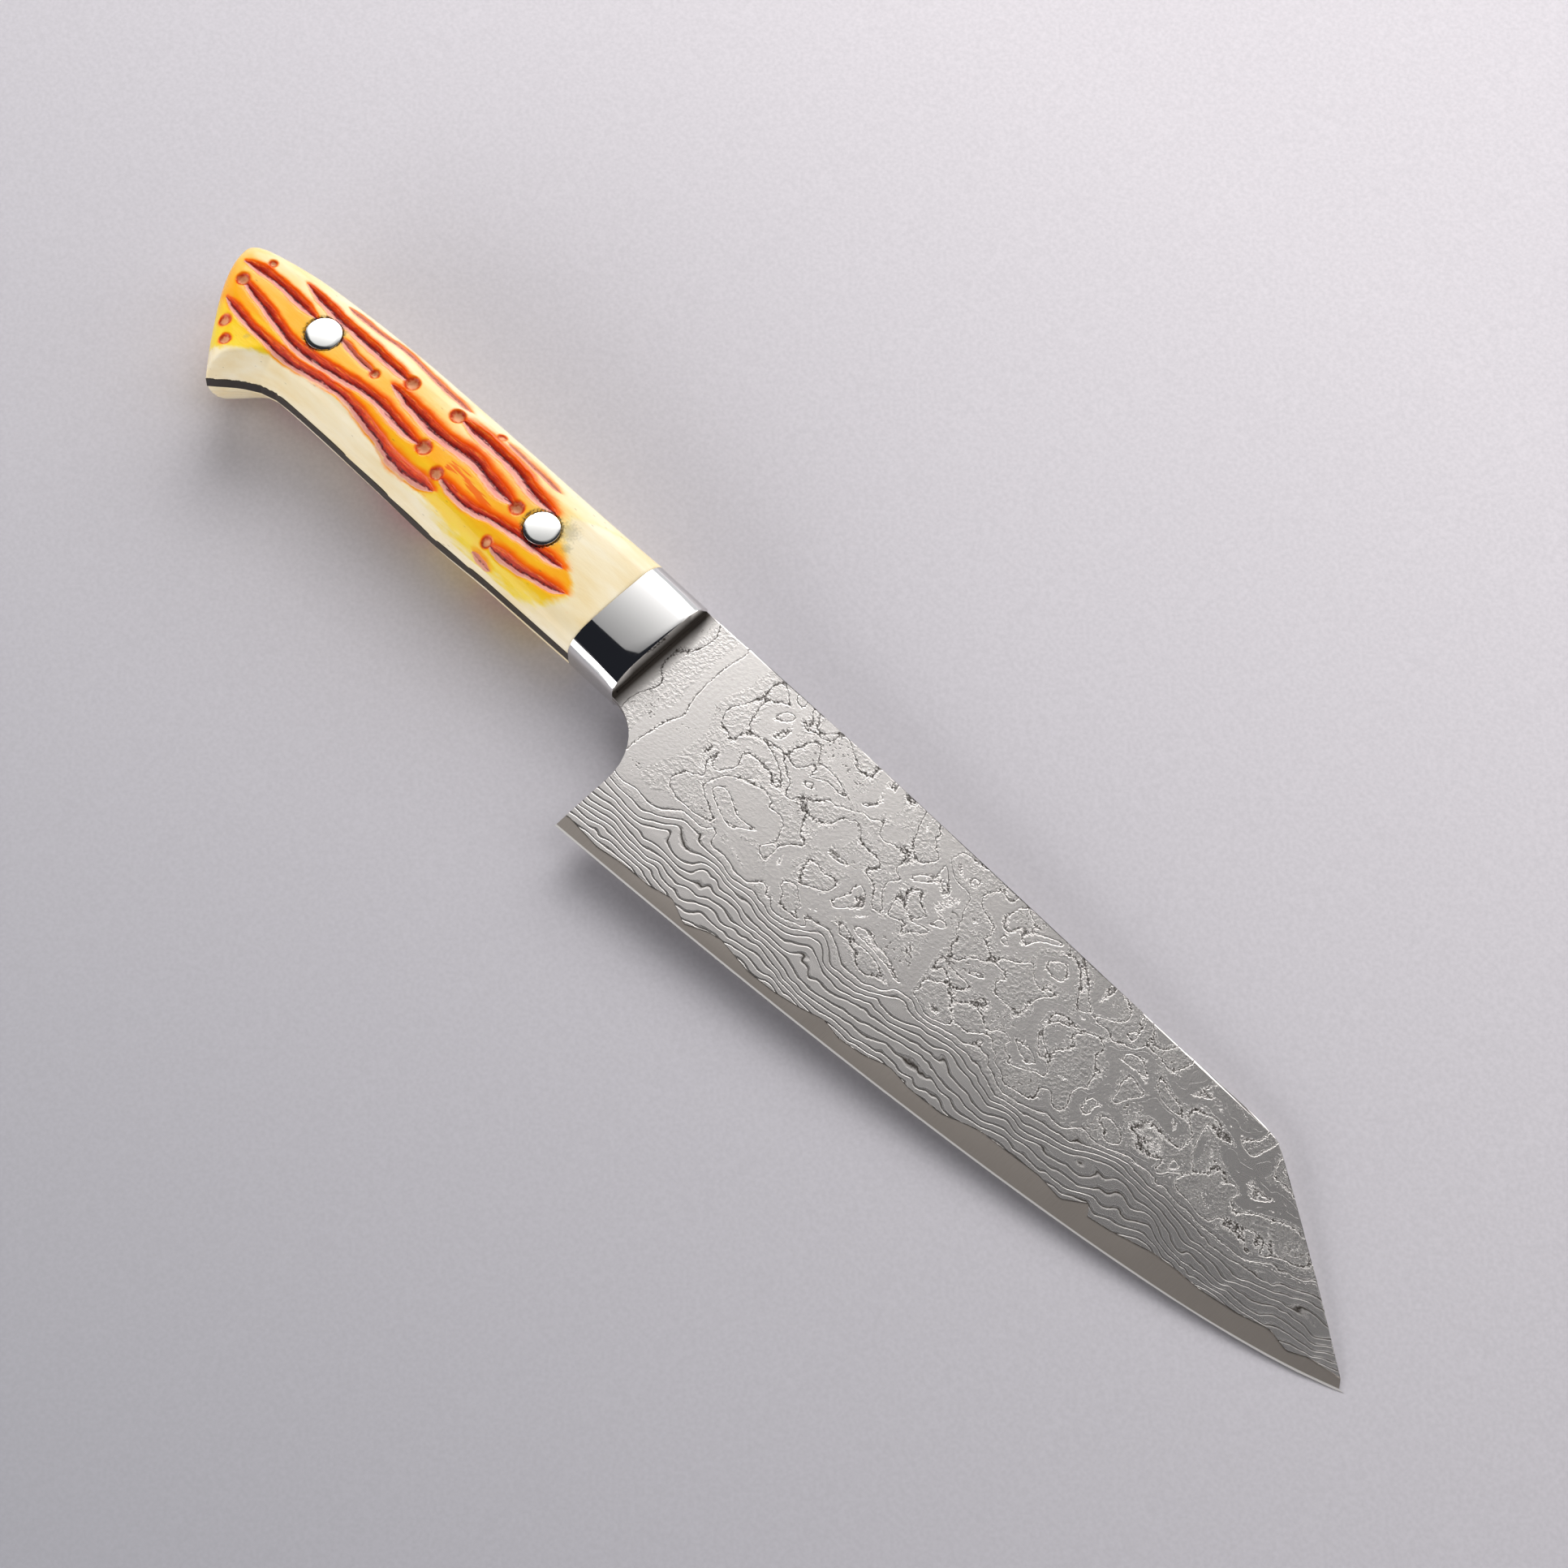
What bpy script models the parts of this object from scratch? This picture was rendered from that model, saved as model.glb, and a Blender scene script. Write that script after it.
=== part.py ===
"""Bunka kitchen knife: layered blade on a full tang, two-piece bolster, jigged bone scales."""
import math

import bmesh
import bpy
from mathutils import Vector
from mathutils.bvhtree import BVHTree

# Frame, in metres: X runs from the butt to the tip, Y from the edge to the spine and Z up.
# The knife lies on its left side. While it is drawn, x = 0 is the seam between scales and
# bolster, y = 0 is the line through both rivets and z = 0 is the middle of the blade. An
# empty then carries the whole knife to where its bottom centre is the world's origin.

# Blade, seen from its side. Heights are above the rivets' line and drops below it.
BLADE_REACH = 0.1798        # front of the bolster to the point
SPINE_REACH = 0.1411        # front of the bolster to the corner of the spine
SPINE_SHAPE = ((0.0, 0.0115), (0.28, 0.0110), (0.56, 0.0098), (0.8, 0.00875), (1.0, 0.0079))
CORNER_ROUND = 0.0022       # how far back the corner is rounded on each side
TIP_DROP = 0.01805
TIP_BOW = 0.00035           # how far the slanted tip bows out between corner and point
HEEL_DROP = 0.03705
HEEL_SETBACK = 0.0111       # front of the bolster to the heel
CHOIL_DEPTH = 0.01205       # height of the round notch between bolster and heel
EDGE_SLOPE_HEEL = 1.9       # slopes of the cutting edge, in degrees
EDGE_SLOPE_TIP = 22.2
EDGE_PULL_HEEL = 0.31       # how long each end of the edge keeps its slope, as chord shares
EDGE_PULL_TIP = 0.19
EDGE_STATIONS = 28
# Bare core between cutting edge and cladding: share of the edge, then height of the band.
BAND_SHAPE = ((0.0, 0.0027), (0.26, 0.0021), (0.47, 0.0033), (0.68, 0.0043), (0.84, 0.0041))
BAND_AT_TIP = 0.0024        # the same band measured back from the point along the tip

# Blade thickness
BLANK_THICKNESS = 0.0025    # tang, and blade at the bolster's spine
TIP_TAPER = 0.0005          # thickness that the blade loses between bolster and corner
CORE_THICKNESS = 0.0004
EDGE_THICKNESS = 0.00006
CLADDING_LIP = 0.00007      # cladding's thickness where it is thinnest, beside the bare band

# Handle, seen from its side: share of the handle's length behind the seam, then distance
# from the rivets' line. The belly ends at the beak.
HANDLE_LENGTH = 0.1019
HANDLE_TOP = ((0.0, 0.0117), (0.12, 0.0115), (0.54, 0.0114), (0.68, 0.0110), (0.82, 0.0100),
              (0.89, 0.0087), (0.95, 0.0070))
HANDLE_BELLY = ((0.0, 0.0121), (0.2, 0.0122), (0.34, 0.0127), (0.5, 0.0122), (0.69, 0.0118),
                (0.76, 0.0121), (0.807, 0.0142), (0.8655, 0.0189))
BUTT_TOP = 0.0035           # height where the butt stands upright
BUTT_PULL_BEAK = 0.0114     # how far the butt follows its slope at the beak
BUTT_PULL_TOP = 0.0060      # and its upright direction at the top
BEAK_SLOPE = 130.4          # direction in which the butt leaves the beak, in degrees
SCALE_CENTRE = 0.785        # share of the length where the scale's rounding turns round the butt

# Handle, seen from its end: share of the length, then half the thickness of the handle, and
# the width over which each long side of a scale rounds over.
HALF_THICKNESS = ((0.0, 0.0063), (0.185, 0.00805), (0.35, 0.00925), (0.665, 0.00925),
                  (0.75, 0.00895), (1.0, 0.0086))
ROUND_WIDTH = ((0.0, 0.00575), (0.4, 0.008), (0.75, 0.0066), (1.0, 0.005))
ROUND_POWER = 2.45          # superellipse power of that rounding
# Slope by which a scale's belly side leans in from the tang before it rounds over.
BELLY_LEAN = ((0.0, 0.08), (0.2, 0.14), (0.38, 0.30), (0.5, 0.24), (0.68, 0.20), (0.78, 0.32),
              (0.9, 0.0))
ROUND_STEPS = 8
LONG_STEPS = 26

# Main jigged grooves of a scale: width, then the line as shares of the handle's length and
# distances from the rivets' line. Each is V-shaped and runs out at both ends, clear of the rivets.
GROOVES = (
    (0.0019, ((0.963, 0.0009), (0.905, 0.0018), (0.852, 0.0018), (0.803, 0.0016))),
    (0.0020, ((0.937, -0.0022), (0.861, -0.0035), (0.776, -0.0052), (0.701, -0.0046),
              (0.608, -0.0030), (0.509, -0.0036), (0.457, -0.0038))),
    (0.0017, ((0.934, -0.0066), (0.864, -0.0079), (0.771, -0.0080), (0.660, -0.0065),
              (0.613, -0.0064), (0.533, -0.0076), (0.467, -0.0088), (0.380, -0.0083))),
    (0.0019, ((0.700, 0.00435), (0.633, 0.0043), (0.564, 0.0041))),
    (0.0024, ((0.578, 0.0013), (0.492, 0.0005), (0.443, 0.0002), (0.364, 0.0011),
              (0.250, -0.0004))),
    (0.0021, ((0.443, 0.0053), (0.376, 0.0054), (0.293, 0.0050), (0.245, 0.0042))),
    (0.0016, ((0.388, -0.0059), (0.315, -0.0064), (0.241, -0.0050))),
    (0.0014, ((0.232, -0.0087), (0.163, -0.0082), (0.070, -0.0061))),
)
GROOVE_DEPTH = 0.8          # of a groove, in half widths
GROOVE_STEPS = 2            # stations of a groove between two points of its line
RUN_OUT = 0.0003            # height above the bone at which a groove's cutter comes to an end
CUTTER_RISE = 3.0           # width of the cutter's open side, in groove widths

# Bolster
BOLSTER_LENGTH = 0.0115
BOLSTER_FRONT_HALF = 0.0058
BOLSTER_FRONT_BELLY = 0.01235
BOLSTER_FRONT_ROUND = 0.0055
NECK_INSET = 0.0012         # how far the bolster's lips close over the neck of the tang
CORE_ROOT = 0.002           # how far the core layer runs back into the neck

# Rivets
RIVET_FRONT_BACK = 0.0189   # behind the seam
RIVET_REAR_BACK = 0.0761
HEAD_DIAMETER = 0.0068
HEAD_DEPTH = 0.0020         # seat of a head under the scale's surface
HEAD_PROUD = 0.00025        # crown of a head above the scale's surface
HEAD_DOME = 0.00035         # height of the crown above the head's rim
TUBE_DIAMETER = 0.0048
PIN_DIAMETER = 0.0030
END_GAP = 0.0020            # between the end of a tube or pin and the other half's head
CLEARANCE = 0.0003          # round everything that passes through something else
TURNED_SIDES = 32

CHOIL_STEPS = 10
SLANT_STEPS = 8
SPINE_STEPS = 14
HOOK_STEPS = 6
BUTT_STEPS = 11
BUTT_TOP_STEPS = 5
DOME_STEPS = 4
CORNER_SHARES = (0.25, 0.5, 0.75)   # points round a small corner
HALVINGS = 40
SLOPE_SPAN = 0.01           # share of the handle over which its top's slope is read
SMOOTH_ANGLE = 30.0         # degrees, above which an edge is shaded sharp

TANG_HALF = BLANK_THICKNESS / 2
CORE_HALF = CORE_THICKNESS / 2
EDGE_HALF = EDGE_THICKNESS / 2


def value_at(shape, share):
    """Smooth curve through (share, value) pairs that never overshoots them."""
    steps = [b[0] - a[0] for a, b in zip(shape, shape[1:])]
    slopes = [(b[1] - a[1]) / step for a, b, step in zip(shape, shape[1:], steps)]
    tangents = [slopes[0]]
    for before, after in zip(slopes, slopes[1:]):
        same_way = before * after > 0
        tangents.append(2 * before * after / (before + after) if same_way else 0.0)
    tangents.append(slopes[-1])
    share = min(max(share, shape[0][0]), shape[-1][0])
    i = max(k for k in range(len(steps)) if shape[k][0] <= share)
    t = (share - shape[i][0]) / steps[i]
    rise = t * t * (3 - 2 * t)
    return (shape[i][1] * (1 - rise) + shape[i + 1][1] * rise
            + steps[i] * (tangents[i] * t * (1 - t) ** 2 - tangents[i + 1] * t * t * (1 - t)))


def bezier(corners, t):
    """Point on a Bezier curve, by repeated interpolation."""
    while len(corners) > 1:
        corners = [a.lerp(b, t) for a, b in zip(corners, corners[1:])]
    return corners[0]


def along(angle, length):
    """Vector of a given length, at an angle in degrees from +X."""
    return Vector((math.cos(math.radians(angle)), math.sin(math.radians(angle)))) * length


# Blade outline
SPINE_START = Vector((BOLSTER_LENGTH, SPINE_SHAPE[0][1]))
CORNER = Vector((BOLSTER_LENGTH + SPINE_REACH, SPINE_SHAPE[-1][1]))
POINT = Vector((BOLSTER_LENGTH + BLADE_REACH, -TIP_DROP))
HEEL = Vector((BOLSTER_LENGTH + HEEL_SETBACK, -HEEL_DROP))


def tip_point(t):
    """Slanted tip, from the spine's corner (t = 0) to the point (t = 1)."""
    outward = Vector((CORNER.y - POINT.y, POINT.x - CORNER.x)).normalized()
    return CORNER.lerp(POINT, t) + outward * TIP_BOW * 4 * t * (1 - t)


def edge_height(x):
    """Height of the cutting edge at x, found by halving the curve's parameter."""
    chord = (POINT - HEEL).length
    corners = [HEEL, HEEL + along(EDGE_SLOPE_HEEL, chord * EDGE_PULL_HEEL),
               POINT - along(EDGE_SLOPE_TIP, chord * EDGE_PULL_TIP), POINT]
    low, high = 0.0, 1.0
    for _ in range(HALVINGS):
        middle = (low + high) / 2
        if bezier(corners, middle).x < x:
            low = middle
        else:
            high = middle
    return bezier(corners, low).y


def edge_and_shoulder():
    """Stations of the cutting edge, and of the cladding's border straight above them."""
    border_end = tip_point(1 - BAND_AT_TIP / (POINT - CORNER).length)
    end_band = border_end.y - edge_height(border_end.x)
    shape = BAND_SHAPE + ((1.0, end_band),)
    edge, shoulder = [], []
    for i in range(EDGE_STATIONS + 1):
        share = i / EDGE_STATIONS
        x = HEEL.x + (border_end.x - HEEL.x) * share
        y = edge_height(x)
        edge.append(Vector((x, y)))
        shoulder.append(Vector((x, y + value_at(shape, share))))
    return edge, shoulder


def choil():
    """Round notch, from the bolster's front down to the straight wall above the heel."""
    points = []
    for i in range(CHOIL_STEPS + 1):
        turn = math.pi / 2 * i / CHOIL_STEPS
        points.append(Vector((BOLSTER_LENGTH + HEEL_SETBACK * math.sin(turn),
                              -BOLSTER_FRONT_BELLY - CHOIL_DEPTH * (1 - math.cos(turn)))))
    return points


def tip_and_spine():
    """From the cladding's border at the tip, up the slant, round the corner, to the bolster."""
    length = (POINT - CORNER).length
    first, last = 1 - BAND_AT_TIP / length, CORNER_ROUND / length
    slant = [tip_point(first + (last - first) * i / SLANT_STEPS)
             for i in range(1, SLANT_STEPS + 1)]
    spine = []
    for i in range(SPINE_STEPS + 1):
        share = (1 - CORNER_ROUND / SPINE_REACH) * (1 - i / SPINE_STEPS)
        spine.append(Vector((BOLSTER_LENGTH + SPINE_REACH * share, value_at(SPINE_SHAPE, share))))
    corner = [bezier([slant[-1], CORNER, spine[0]], t) for t in CORNER_SHARES]
    return slant + corner + spine


EDGE, SHOULDER = edge_and_shoulder()
SLOPE_ALONG = -TIP_TAPER / 2 / SPINE_REACH
SLOPE_ACROSS = min((TANG_HALF + SLOPE_ALONG * (p.x - SPINE_START.x) - CORE_HALF - CLADDING_LIP)
                   / (SPINE_START.y - p.y) for p in SHOULDER)


def side_height(p):
    """Half the blade's thickness: one plane, least above the core beside the bare band."""
    across = SLOPE_ACROSS * (p.y - SPINE_START.y)
    return TANG_HALF + SLOPE_ALONG * (p.x - SPINE_START.x) + across


# Handle outline
def handle_share(x):
    return min(max(-x / HANDLE_LENGTH, 0.0), 1.0)


def belly_point(share):
    return Vector((-HANDLE_LENGTH * share, -value_at(HANDLE_BELLY, share)))


def top_point(share):
    return Vector((-HANDLE_LENGTH * share, value_at(HANDLE_TOP, share)))


def long_shares():
    """Stations from the seam to the turning centre, shared by belly and top."""
    return [SCALE_CENTRE * i / LONG_STEPS for i in range(LONG_STEPS + 1)]


def butt_points():
    """From the last belly station round beak and butt to the last top station."""
    beak_share, top_share = HANDLE_BELLY[-1][0], HANDLE_TOP[-1][0]
    hook = [belly_point(SCALE_CENTRE + (beak_share - SCALE_CENTRE) * i / HOOK_STEPS)
            for i in range(1, HOOK_STEPS + 1)]
    upright = Vector((-HANDLE_LENGTH, BUTT_TOP))
    curve = [hook[-1], hook[-1] + along(BEAK_SLOPE, BUTT_PULL_BEAK),
             upright - Vector((0, BUTT_PULL_TOP)), upright]
    butt = [bezier(curve, i / BUTT_STEPS) for i in range(1, BUTT_STEPS + 1)]
    top_end = top_point(top_share)
    before = top_point(top_share - SLOPE_SPAN)
    slope = (top_end.y - before.y) / (top_end.x - before.x)
    meeting = Vector((-HANDLE_LENGTH, top_end.y + slope * (-HANDLE_LENGTH - top_end.x)))
    corner = [bezier([upright, meeting, top_end], t) for t in CORNER_SHARES]
    top = [top_point(top_share + (SCALE_CENTRE - top_share) * i / BUTT_TOP_STEPS)
           for i in range(BUTT_TOP_STEPS)]
    return hook + butt + corner + top


def handle_outline():
    """Round the handle from the seam's belly, by the butt, to the seam's top."""
    shares = long_shares()
    belly = [belly_point(share) for share in shares]
    top = [top_point(share) for share in reversed(shares)]
    return belly + butt_points() + top


# Meshes
def sheet(corners, faces):
    """Solid between a lower and an upper height, over faces drawn anticlockwise in plan.

    Each corner is (x, y, low, high). Walls close it along every side that one face has alone.
    """
    bm = bmesh.new()
    low = [bm.verts.new((x, y, z)) for x, y, z, _ in corners]
    high = [bm.verts.new((x, y, z)) for x, y, _, z in corners]
    sides = set()
    for face in faces:
        bm.faces.new([high[i] for i in face])
        bm.faces.new([low[i] for i in reversed(face)])
        sides.update(zip(face, face[1:] + face[:1]))
    for a, b in sorted(sides):
        if (b, a) not in sides:
            bm.faces.new((low[a], low[b], high[b], high[a]))
    return bm


def loft(rings, close_start=True, close_end=True):
    """Skin over rings of points. A ring of one point is a pole."""
    bm = bmesh.new()
    loops = [[bm.verts.new(point) for point in ring] for ring in rings]
    for first, second in zip(loops, loops[1:]):
        count = max(len(first), len(second))
        for i in range(count):
            j = (i + 1) % count
            if len(first) == 1:
                bm.faces.new((first[0], second[j], second[i]))
            elif len(second) == 1:
                bm.faces.new((first[i], first[j], second[0]))
            else:
                bm.faces.new((first[i], first[j], second[j], second[i]))
    if close_start:
        bm.faces.new(list(reversed(loops[0])))
    if close_end:
        bm.faces.new(loops[-1])
    return bm, loops


def turned(profile):
    """Solid of revolution about Z from (radius, height) pairs that start and end on the axis."""
    rings = []
    for radius, z in reversed(profile):
        if radius == 0:
            rings.append([(0, 0, z)])
            continue
        turns = [2 * math.pi * i / TURNED_SIDES for i in range(TURNED_SIDES)]
        rings.append([(radius * math.cos(a), radius * math.sin(a), z) for a in turns])
    bm, _ = loft(rings, close_start=False, close_end=False)
    return bm


def rounding(width, low, high, lean=0.0):
    """Quarter superellipse as (inset, height), from a side that may lean in to a flat top."""
    steps = []
    for i in range(ROUND_STEPS + 1):
        turn = math.pi / 2 * i / ROUND_STEPS
        rise = (high - low) * math.sin(turn) ** (2 / ROUND_POWER)
        inset = 1 - math.cos(turn) ** (2 / ROUND_POWER) if i < ROUND_STEPS else 1.0
        steps.append((lean * rise + (width - lean * (high - low)) * inset, low + rise))
    return steps


# Pieces
def material(name, colour, roughness, metallic):
    made = bpy.data.materials.new(name)
    made.use_nodes = True
    shader = made.node_tree.nodes["Principled BSDF"]
    shader.inputs["Base Color"].default_value = (*colour, 1)
    shader.inputs["Roughness"].default_value = roughness
    shader.inputs["Metallic"].default_value = metallic
    made.diffuse_color = (*colour, 1)
    return made


def add_piece(name, bm, look, carrier, side=1, location=(0, 0, 0), cutters=()):
    """Object from a mesh drawn for the right side. A left piece is its mirror image."""
    if side < 0:
        bmesh.ops.scale(bm, vec=(1, 1, -1), verts=bm.verts)
        bmesh.ops.reverse_faces(bm, faces=bm.faces)
    mesh = bpy.data.meshes.new(name)
    bm.to_mesh(mesh)
    bm.free()
    mesh.shade_smooth()
    mesh.set_sharp_from_angle(angle=math.radians(SMOOTH_ANGLE))
    if look:
        mesh.materials.append(look)
    piece = bpy.data.objects.new(name, mesh)
    piece.location = location
    piece.parent = carrier
    bpy.context.collection.objects.link(piece)
    for cutter in cutters:
        cut = piece.modifiers.new("cut by " + cutter.name, "BOOLEAN")
        cut.operation = "DIFFERENCE"
        cut.solver = "EXACT"
        cut.object = cutter
    return piece


def guide(piece):
    """Keeps a helper solid out of the finished knife."""
    piece.hide_render = True
    piece.display_type = "WIRE"
    return piece


def head_seat(back):
    """Height of a rivet head's seat, for a rivet that lies so far behind the seam."""
    return value_at(HALF_THICKNESS, back / HANDLE_LENGTH) - HEAD_DEPTH


def make_well(name, back, carrier):
    """Cutter for one rivet's hole through the handle, with a wider well for each head."""
    seat = head_seat(back)
    top = seat + 2 * HEAD_DEPTH
    well = HEAD_DIAMETER / 2 + CLEARANCE
    hole = TUBE_DIAMETER / 2 + CLEARANCE
    profile = [(0, top), (well, top), (well, seat), (hole, seat),
               (hole, -seat), (well, -seat), (well, -top), (0, -top)]
    return guide(add_piece(name, turned(profile), None, carrier, location=(-back, 0, 0)))


def head_profile(seat):
    """Crown, rim and underside of a rivet's head."""
    crown = seat + HEAD_DEPTH + HEAD_PROUD
    radius = HEAD_DIAMETER / 2
    shares = [i / DOME_STEPS for i in range(DOME_STEPS + 1)]
    dome = [(radius * share, crown - HEAD_DOME * share ** 2) for share in shares]
    return dome + [(radius, seat)]


def make_rivet(name, back, look, carrier):
    """Female half with its tube on the right, male half with its pin on the left."""
    seat = head_seat(back)
    tube, pin = TUBE_DIAMETER / 2, PIN_DIAMETER / 2
    end = -seat + END_GAP
    tip = seat - END_GAP
    bore = pin + CLEARANCE
    female = head_profile(seat) + [(tube, seat), (tube, end), (bore, end),
                                   (bore, tip + CLEARANCE), (0, tip + CLEARANCE)]
    male = head_profile(seat) + [(pin, seat), (pin, -tip), (0, -tip)]
    place = (-back, 0, 0)
    add_piece(name + "_female", turned(female), look, carrier, location=place)
    add_piece(name + "_male", turned(male), look, carrier, side=-1, location=place)


def make_blade_core(look, carrier, wells):
    """Tang plate with its neck, joined to the thin core layer that ends in the cutting edge."""
    belly = -HANDLE_BELLY[0][1] + NECK_INSET
    top = HANDLE_TOP[0][1] - NECK_INSET
    neck = [Vector((0, top)), Vector((BOLSTER_LENGTH, top)),
            Vector((BOLSTER_LENGTH, belly)), Vector((0, belly))]
    plan = list(reversed(handle_outline() + neck))
    plate = sheet([(*p, -TANG_HALF, TANG_HALF) for p in plan], [list(range(len(plan)))])

    back = BOLSTER_LENGTH - CORE_ROOT
    inset = NECK_INSET / 2
    root = [Vector((BOLSTER_LENGTH, top - inset)), Vector((back, top - inset)),
            Vector((back, belly + inset)), Vector((BOLSTER_LENGTH, belly + inset))]
    notch = choil()
    body = root + notch + SHOULDER + tip_and_spine()
    corners = [(*p, -CORE_HALF, CORE_HALF) for p in body]
    corners += [(*p, -EDGE_HALF, EDGE_HALF) for p in EDGE + [POINT]]
    shoulder = len(root) + len(notch)
    edge = len(body)
    faces = [list(range(len(body)))]
    for i in range(EDGE_STATIONS):
        faces.append([edge + i, edge + i + 1, shoulder + i + 1, shoulder + i])
    faces.append([edge + EDGE_STATIONS, edge + EDGE_STATIONS + 1, shoulder + EDGE_STATIONS])
    layer = guide(add_piece("core_layer", sheet(corners, faces), look, carrier))

    piece = add_piece("blade_core_and_tang", plate, look, carrier, cutters=wells)
    join = piece.modifiers.new("core layer", "BOOLEAN")
    join.operation = "UNION"
    join.solver = "EXACT"
    join.object = layer


def make_cladding(name, look, carrier, side):
    """Patterned layer over one face of the core, from the bolster to the bare band."""
    plan = choil() + SHOULDER + tip_and_spine()
    bm = sheet([(*p, CORE_HALF, side_height(p)) for p in plan], [list(range(len(plan)))])
    add_piece(name, bm, look, carrier, side=side)


def bolster_section(x, belly, top, width, half):
    """Half a bolster in section, with the recess that holds the neck."""
    curve = rounding(width, TANG_HALF, half)
    outer = [(-belly, 0)] + [(-belly + inset, z) for inset, z in curve]
    outer += [(top - inset, z) for inset, z in reversed(curve)] + [(top, 0)]
    recess_belly = -HANDLE_BELLY[0][1] + NECK_INSET - CLEARANCE
    recess_top = HANDLE_TOP[0][1] - NECK_INSET + CLEARANCE
    recess = [(recess_top, 0), (recess_top, TANG_HALF),
              (recess_belly, TANG_HALF), (recess_belly, 0)]
    return [(x, y, z) for y, z in outer + recess]


def make_bolster(name, look, carrier, side):
    """Half a bolster, flush with the scales behind it and with the spine in front."""
    rear = bolster_section(0, HANDLE_BELLY[0][1], HANDLE_TOP[0][1], ROUND_WIDTH[0][1],
                           HALF_THICKNESS[0][1])
    front = bolster_section(BOLSTER_LENGTH, BOLSTER_FRONT_BELLY, SPINE_SHAPE[0][1],
                            BOLSTER_FRONT_ROUND, BOLSTER_FRONT_HALF)
    bm, _ = loft([front, rear])
    add_piece(name, bm, look, carrier, side=side)


def smooth_line(points, steps):
    """Smooth curve through points, with so many stations to each stretch.

    At each point it runs as the chord between that point's neighbours does.
    """
    own = [2 * points[0] - points[1], *points, 2 * points[-1] - points[-2]]
    line = []
    for a, b, c, d in zip(own, own[1:], own[2:], own[3:]):
        corners = [b, b + (c - a) / 6, c - (d - b) / 6, c]
        line += [bezier(corners, i / steps) for i in range(steps)]
    return line + [points[-1]]


def groove_cutter(width, points, surface):
    """Cutter of one groove, which follows the bone's surface with its V-shaped section."""
    up = Vector((0, 0, 1))
    above = 2 * max(half for _, half in HALF_THICKNESS)

    def on_bone(p):
        return surface.ray_cast(Vector((*p, above)), -up)[0]

    line = smooth_line([Vector((-HANDLE_LENGTH * share, y)) for share, y in points], GROOVE_STEPS)
    rings = [[on_bone(line[0]) + up * RUN_OUT]]
    for before, here, after in zip(line, line[1:], line[2:]):
        across = (after - before).orthogonal().normalized() * width / 2
        bottom = on_bone(here) - up * GROOVE_DEPTH * width / 2
        rings.append([bottom] + [bottom + (on_bone(lip) - bottom) * CUTTER_RISE
                                 for lip in (here + across, here - across)])
    rings.append([on_bone(line[-1]) + up * RUN_OUT])
    bm, _ = loft(rings, close_start=False, close_end=False)
    bmesh.ops.recalc_face_normals(bm, faces=bm.faces)
    return bm


def make_scale(name, look, carrier, side, wells):
    """Bone scale: flat against the tang, rounded over to a land that follows the thickness."""
    outline = handle_outline()
    centre = Vector((-HANDLE_LENGTH * SCALE_CENTRE, 0))
    rings = [[] for _ in range(ROUND_STEPS + 1)]
    for p in outline:
        inward = (Vector((max(p.x, centre.x), 0)) - p).normalized()
        width = value_at(ROUND_WIDTH, handle_share(p.x))
        land = p + inward * width
        high = value_at(HALF_THICKNESS, handle_share(land.x))
        lean = value_at(BELLY_LEAN, handle_share(p.x)) if p.y < 0 else 0.0
        for ring, (inset, z) in zip(rings, rounding(width, TANG_HALF, high, lean)):
            ring.append((*(p + inward * inset), z))
    bm, loops = loft([list(reversed(ring)) for ring in rings], close_end=False)
    land = list(reversed(loops[-1]))
    last = len(land) - 1
    for i in range(LONG_STEPS - 1):
        bm.faces.new((land[last - i], land[last - i - 1], land[i + 1], land[i]))
    end = LONG_STEPS
    middle = bm.verts.new((*centre, value_at(HALF_THICKNESS, SCALE_CENTRE)))
    bm.faces.new((land[last - end + 1], land[last - end], middle, land[end], land[end - 1]))
    for i in range(end, last - end):
        bm.faces.new((middle, land[i + 1], land[i]))
    surface = BVHTree.FromBMesh(bm)
    gouges = [guide(add_piece(f"gouge_{name}_{number}", groove_cutter(width, line, surface), None,
                              carrier, side=side))
              for number, (width, line) in enumerate(GROOVES)]
    add_piece(name, bm, look, carrier, side=side, cutters=wells + gouges)


def settle(carrier):
    """Moves the knife so that the bottom centre of its box is the world's origin."""
    points = [piece.location + vertex.co for piece in carrier.children
              if not piece.hide_render for vertex in piece.data.vertices]
    low_x, high_x = min(p.x for p in points), POINT.x
    low_y, high_y = HEEL.y, max(p.y for p in points)
    low_z = min(p.z for p in points)
    carrier.location = (-(low_x + high_x) / 2, -(low_y + high_y) / 2, -low_z)


def main():
    for old in list(bpy.data.objects):
        bpy.data.objects.remove(old)
    carrier = bpy.data.objects.new("bunka_knife", None)
    bpy.context.collection.objects.link(carrier)

    core = material("core_steel", (0.36, 0.36, 0.35), 0.38, 1.0)
    cladding = material("patterned_steel", (0.42, 0.41, 0.40), 0.42, 1.0)
    polished = material("polished_steel", (0.72, 0.72, 0.70), 0.06, 1.0)
    rivet_steel = material("rivet_steel", (0.66, 0.66, 0.64), 0.16, 1.0)
    bone = material("dyed_bone", (0.86, 0.47, 0.10), 0.42, 0.0)

    rivets = (("rivet_front", RIVET_FRONT_BACK), ("rivet_rear", RIVET_REAR_BACK))
    wells = [make_well("well_" + name, back, carrier) for name, back in rivets]
    make_blade_core(core, carrier, wells)
    for hand, side in (("right", 1), ("left", -1)):
        make_cladding("damascus_cladding_" + hand, cladding, carrier, side)
        make_bolster("bolster_" + hand, polished, carrier, side)
        make_scale("handle_scale_" + hand, bone, carrier, side, wells)
    for name, back in rivets:
        make_rivet(name, back, rivet_steel, carrier)
    settle(carrier)


main()
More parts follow.
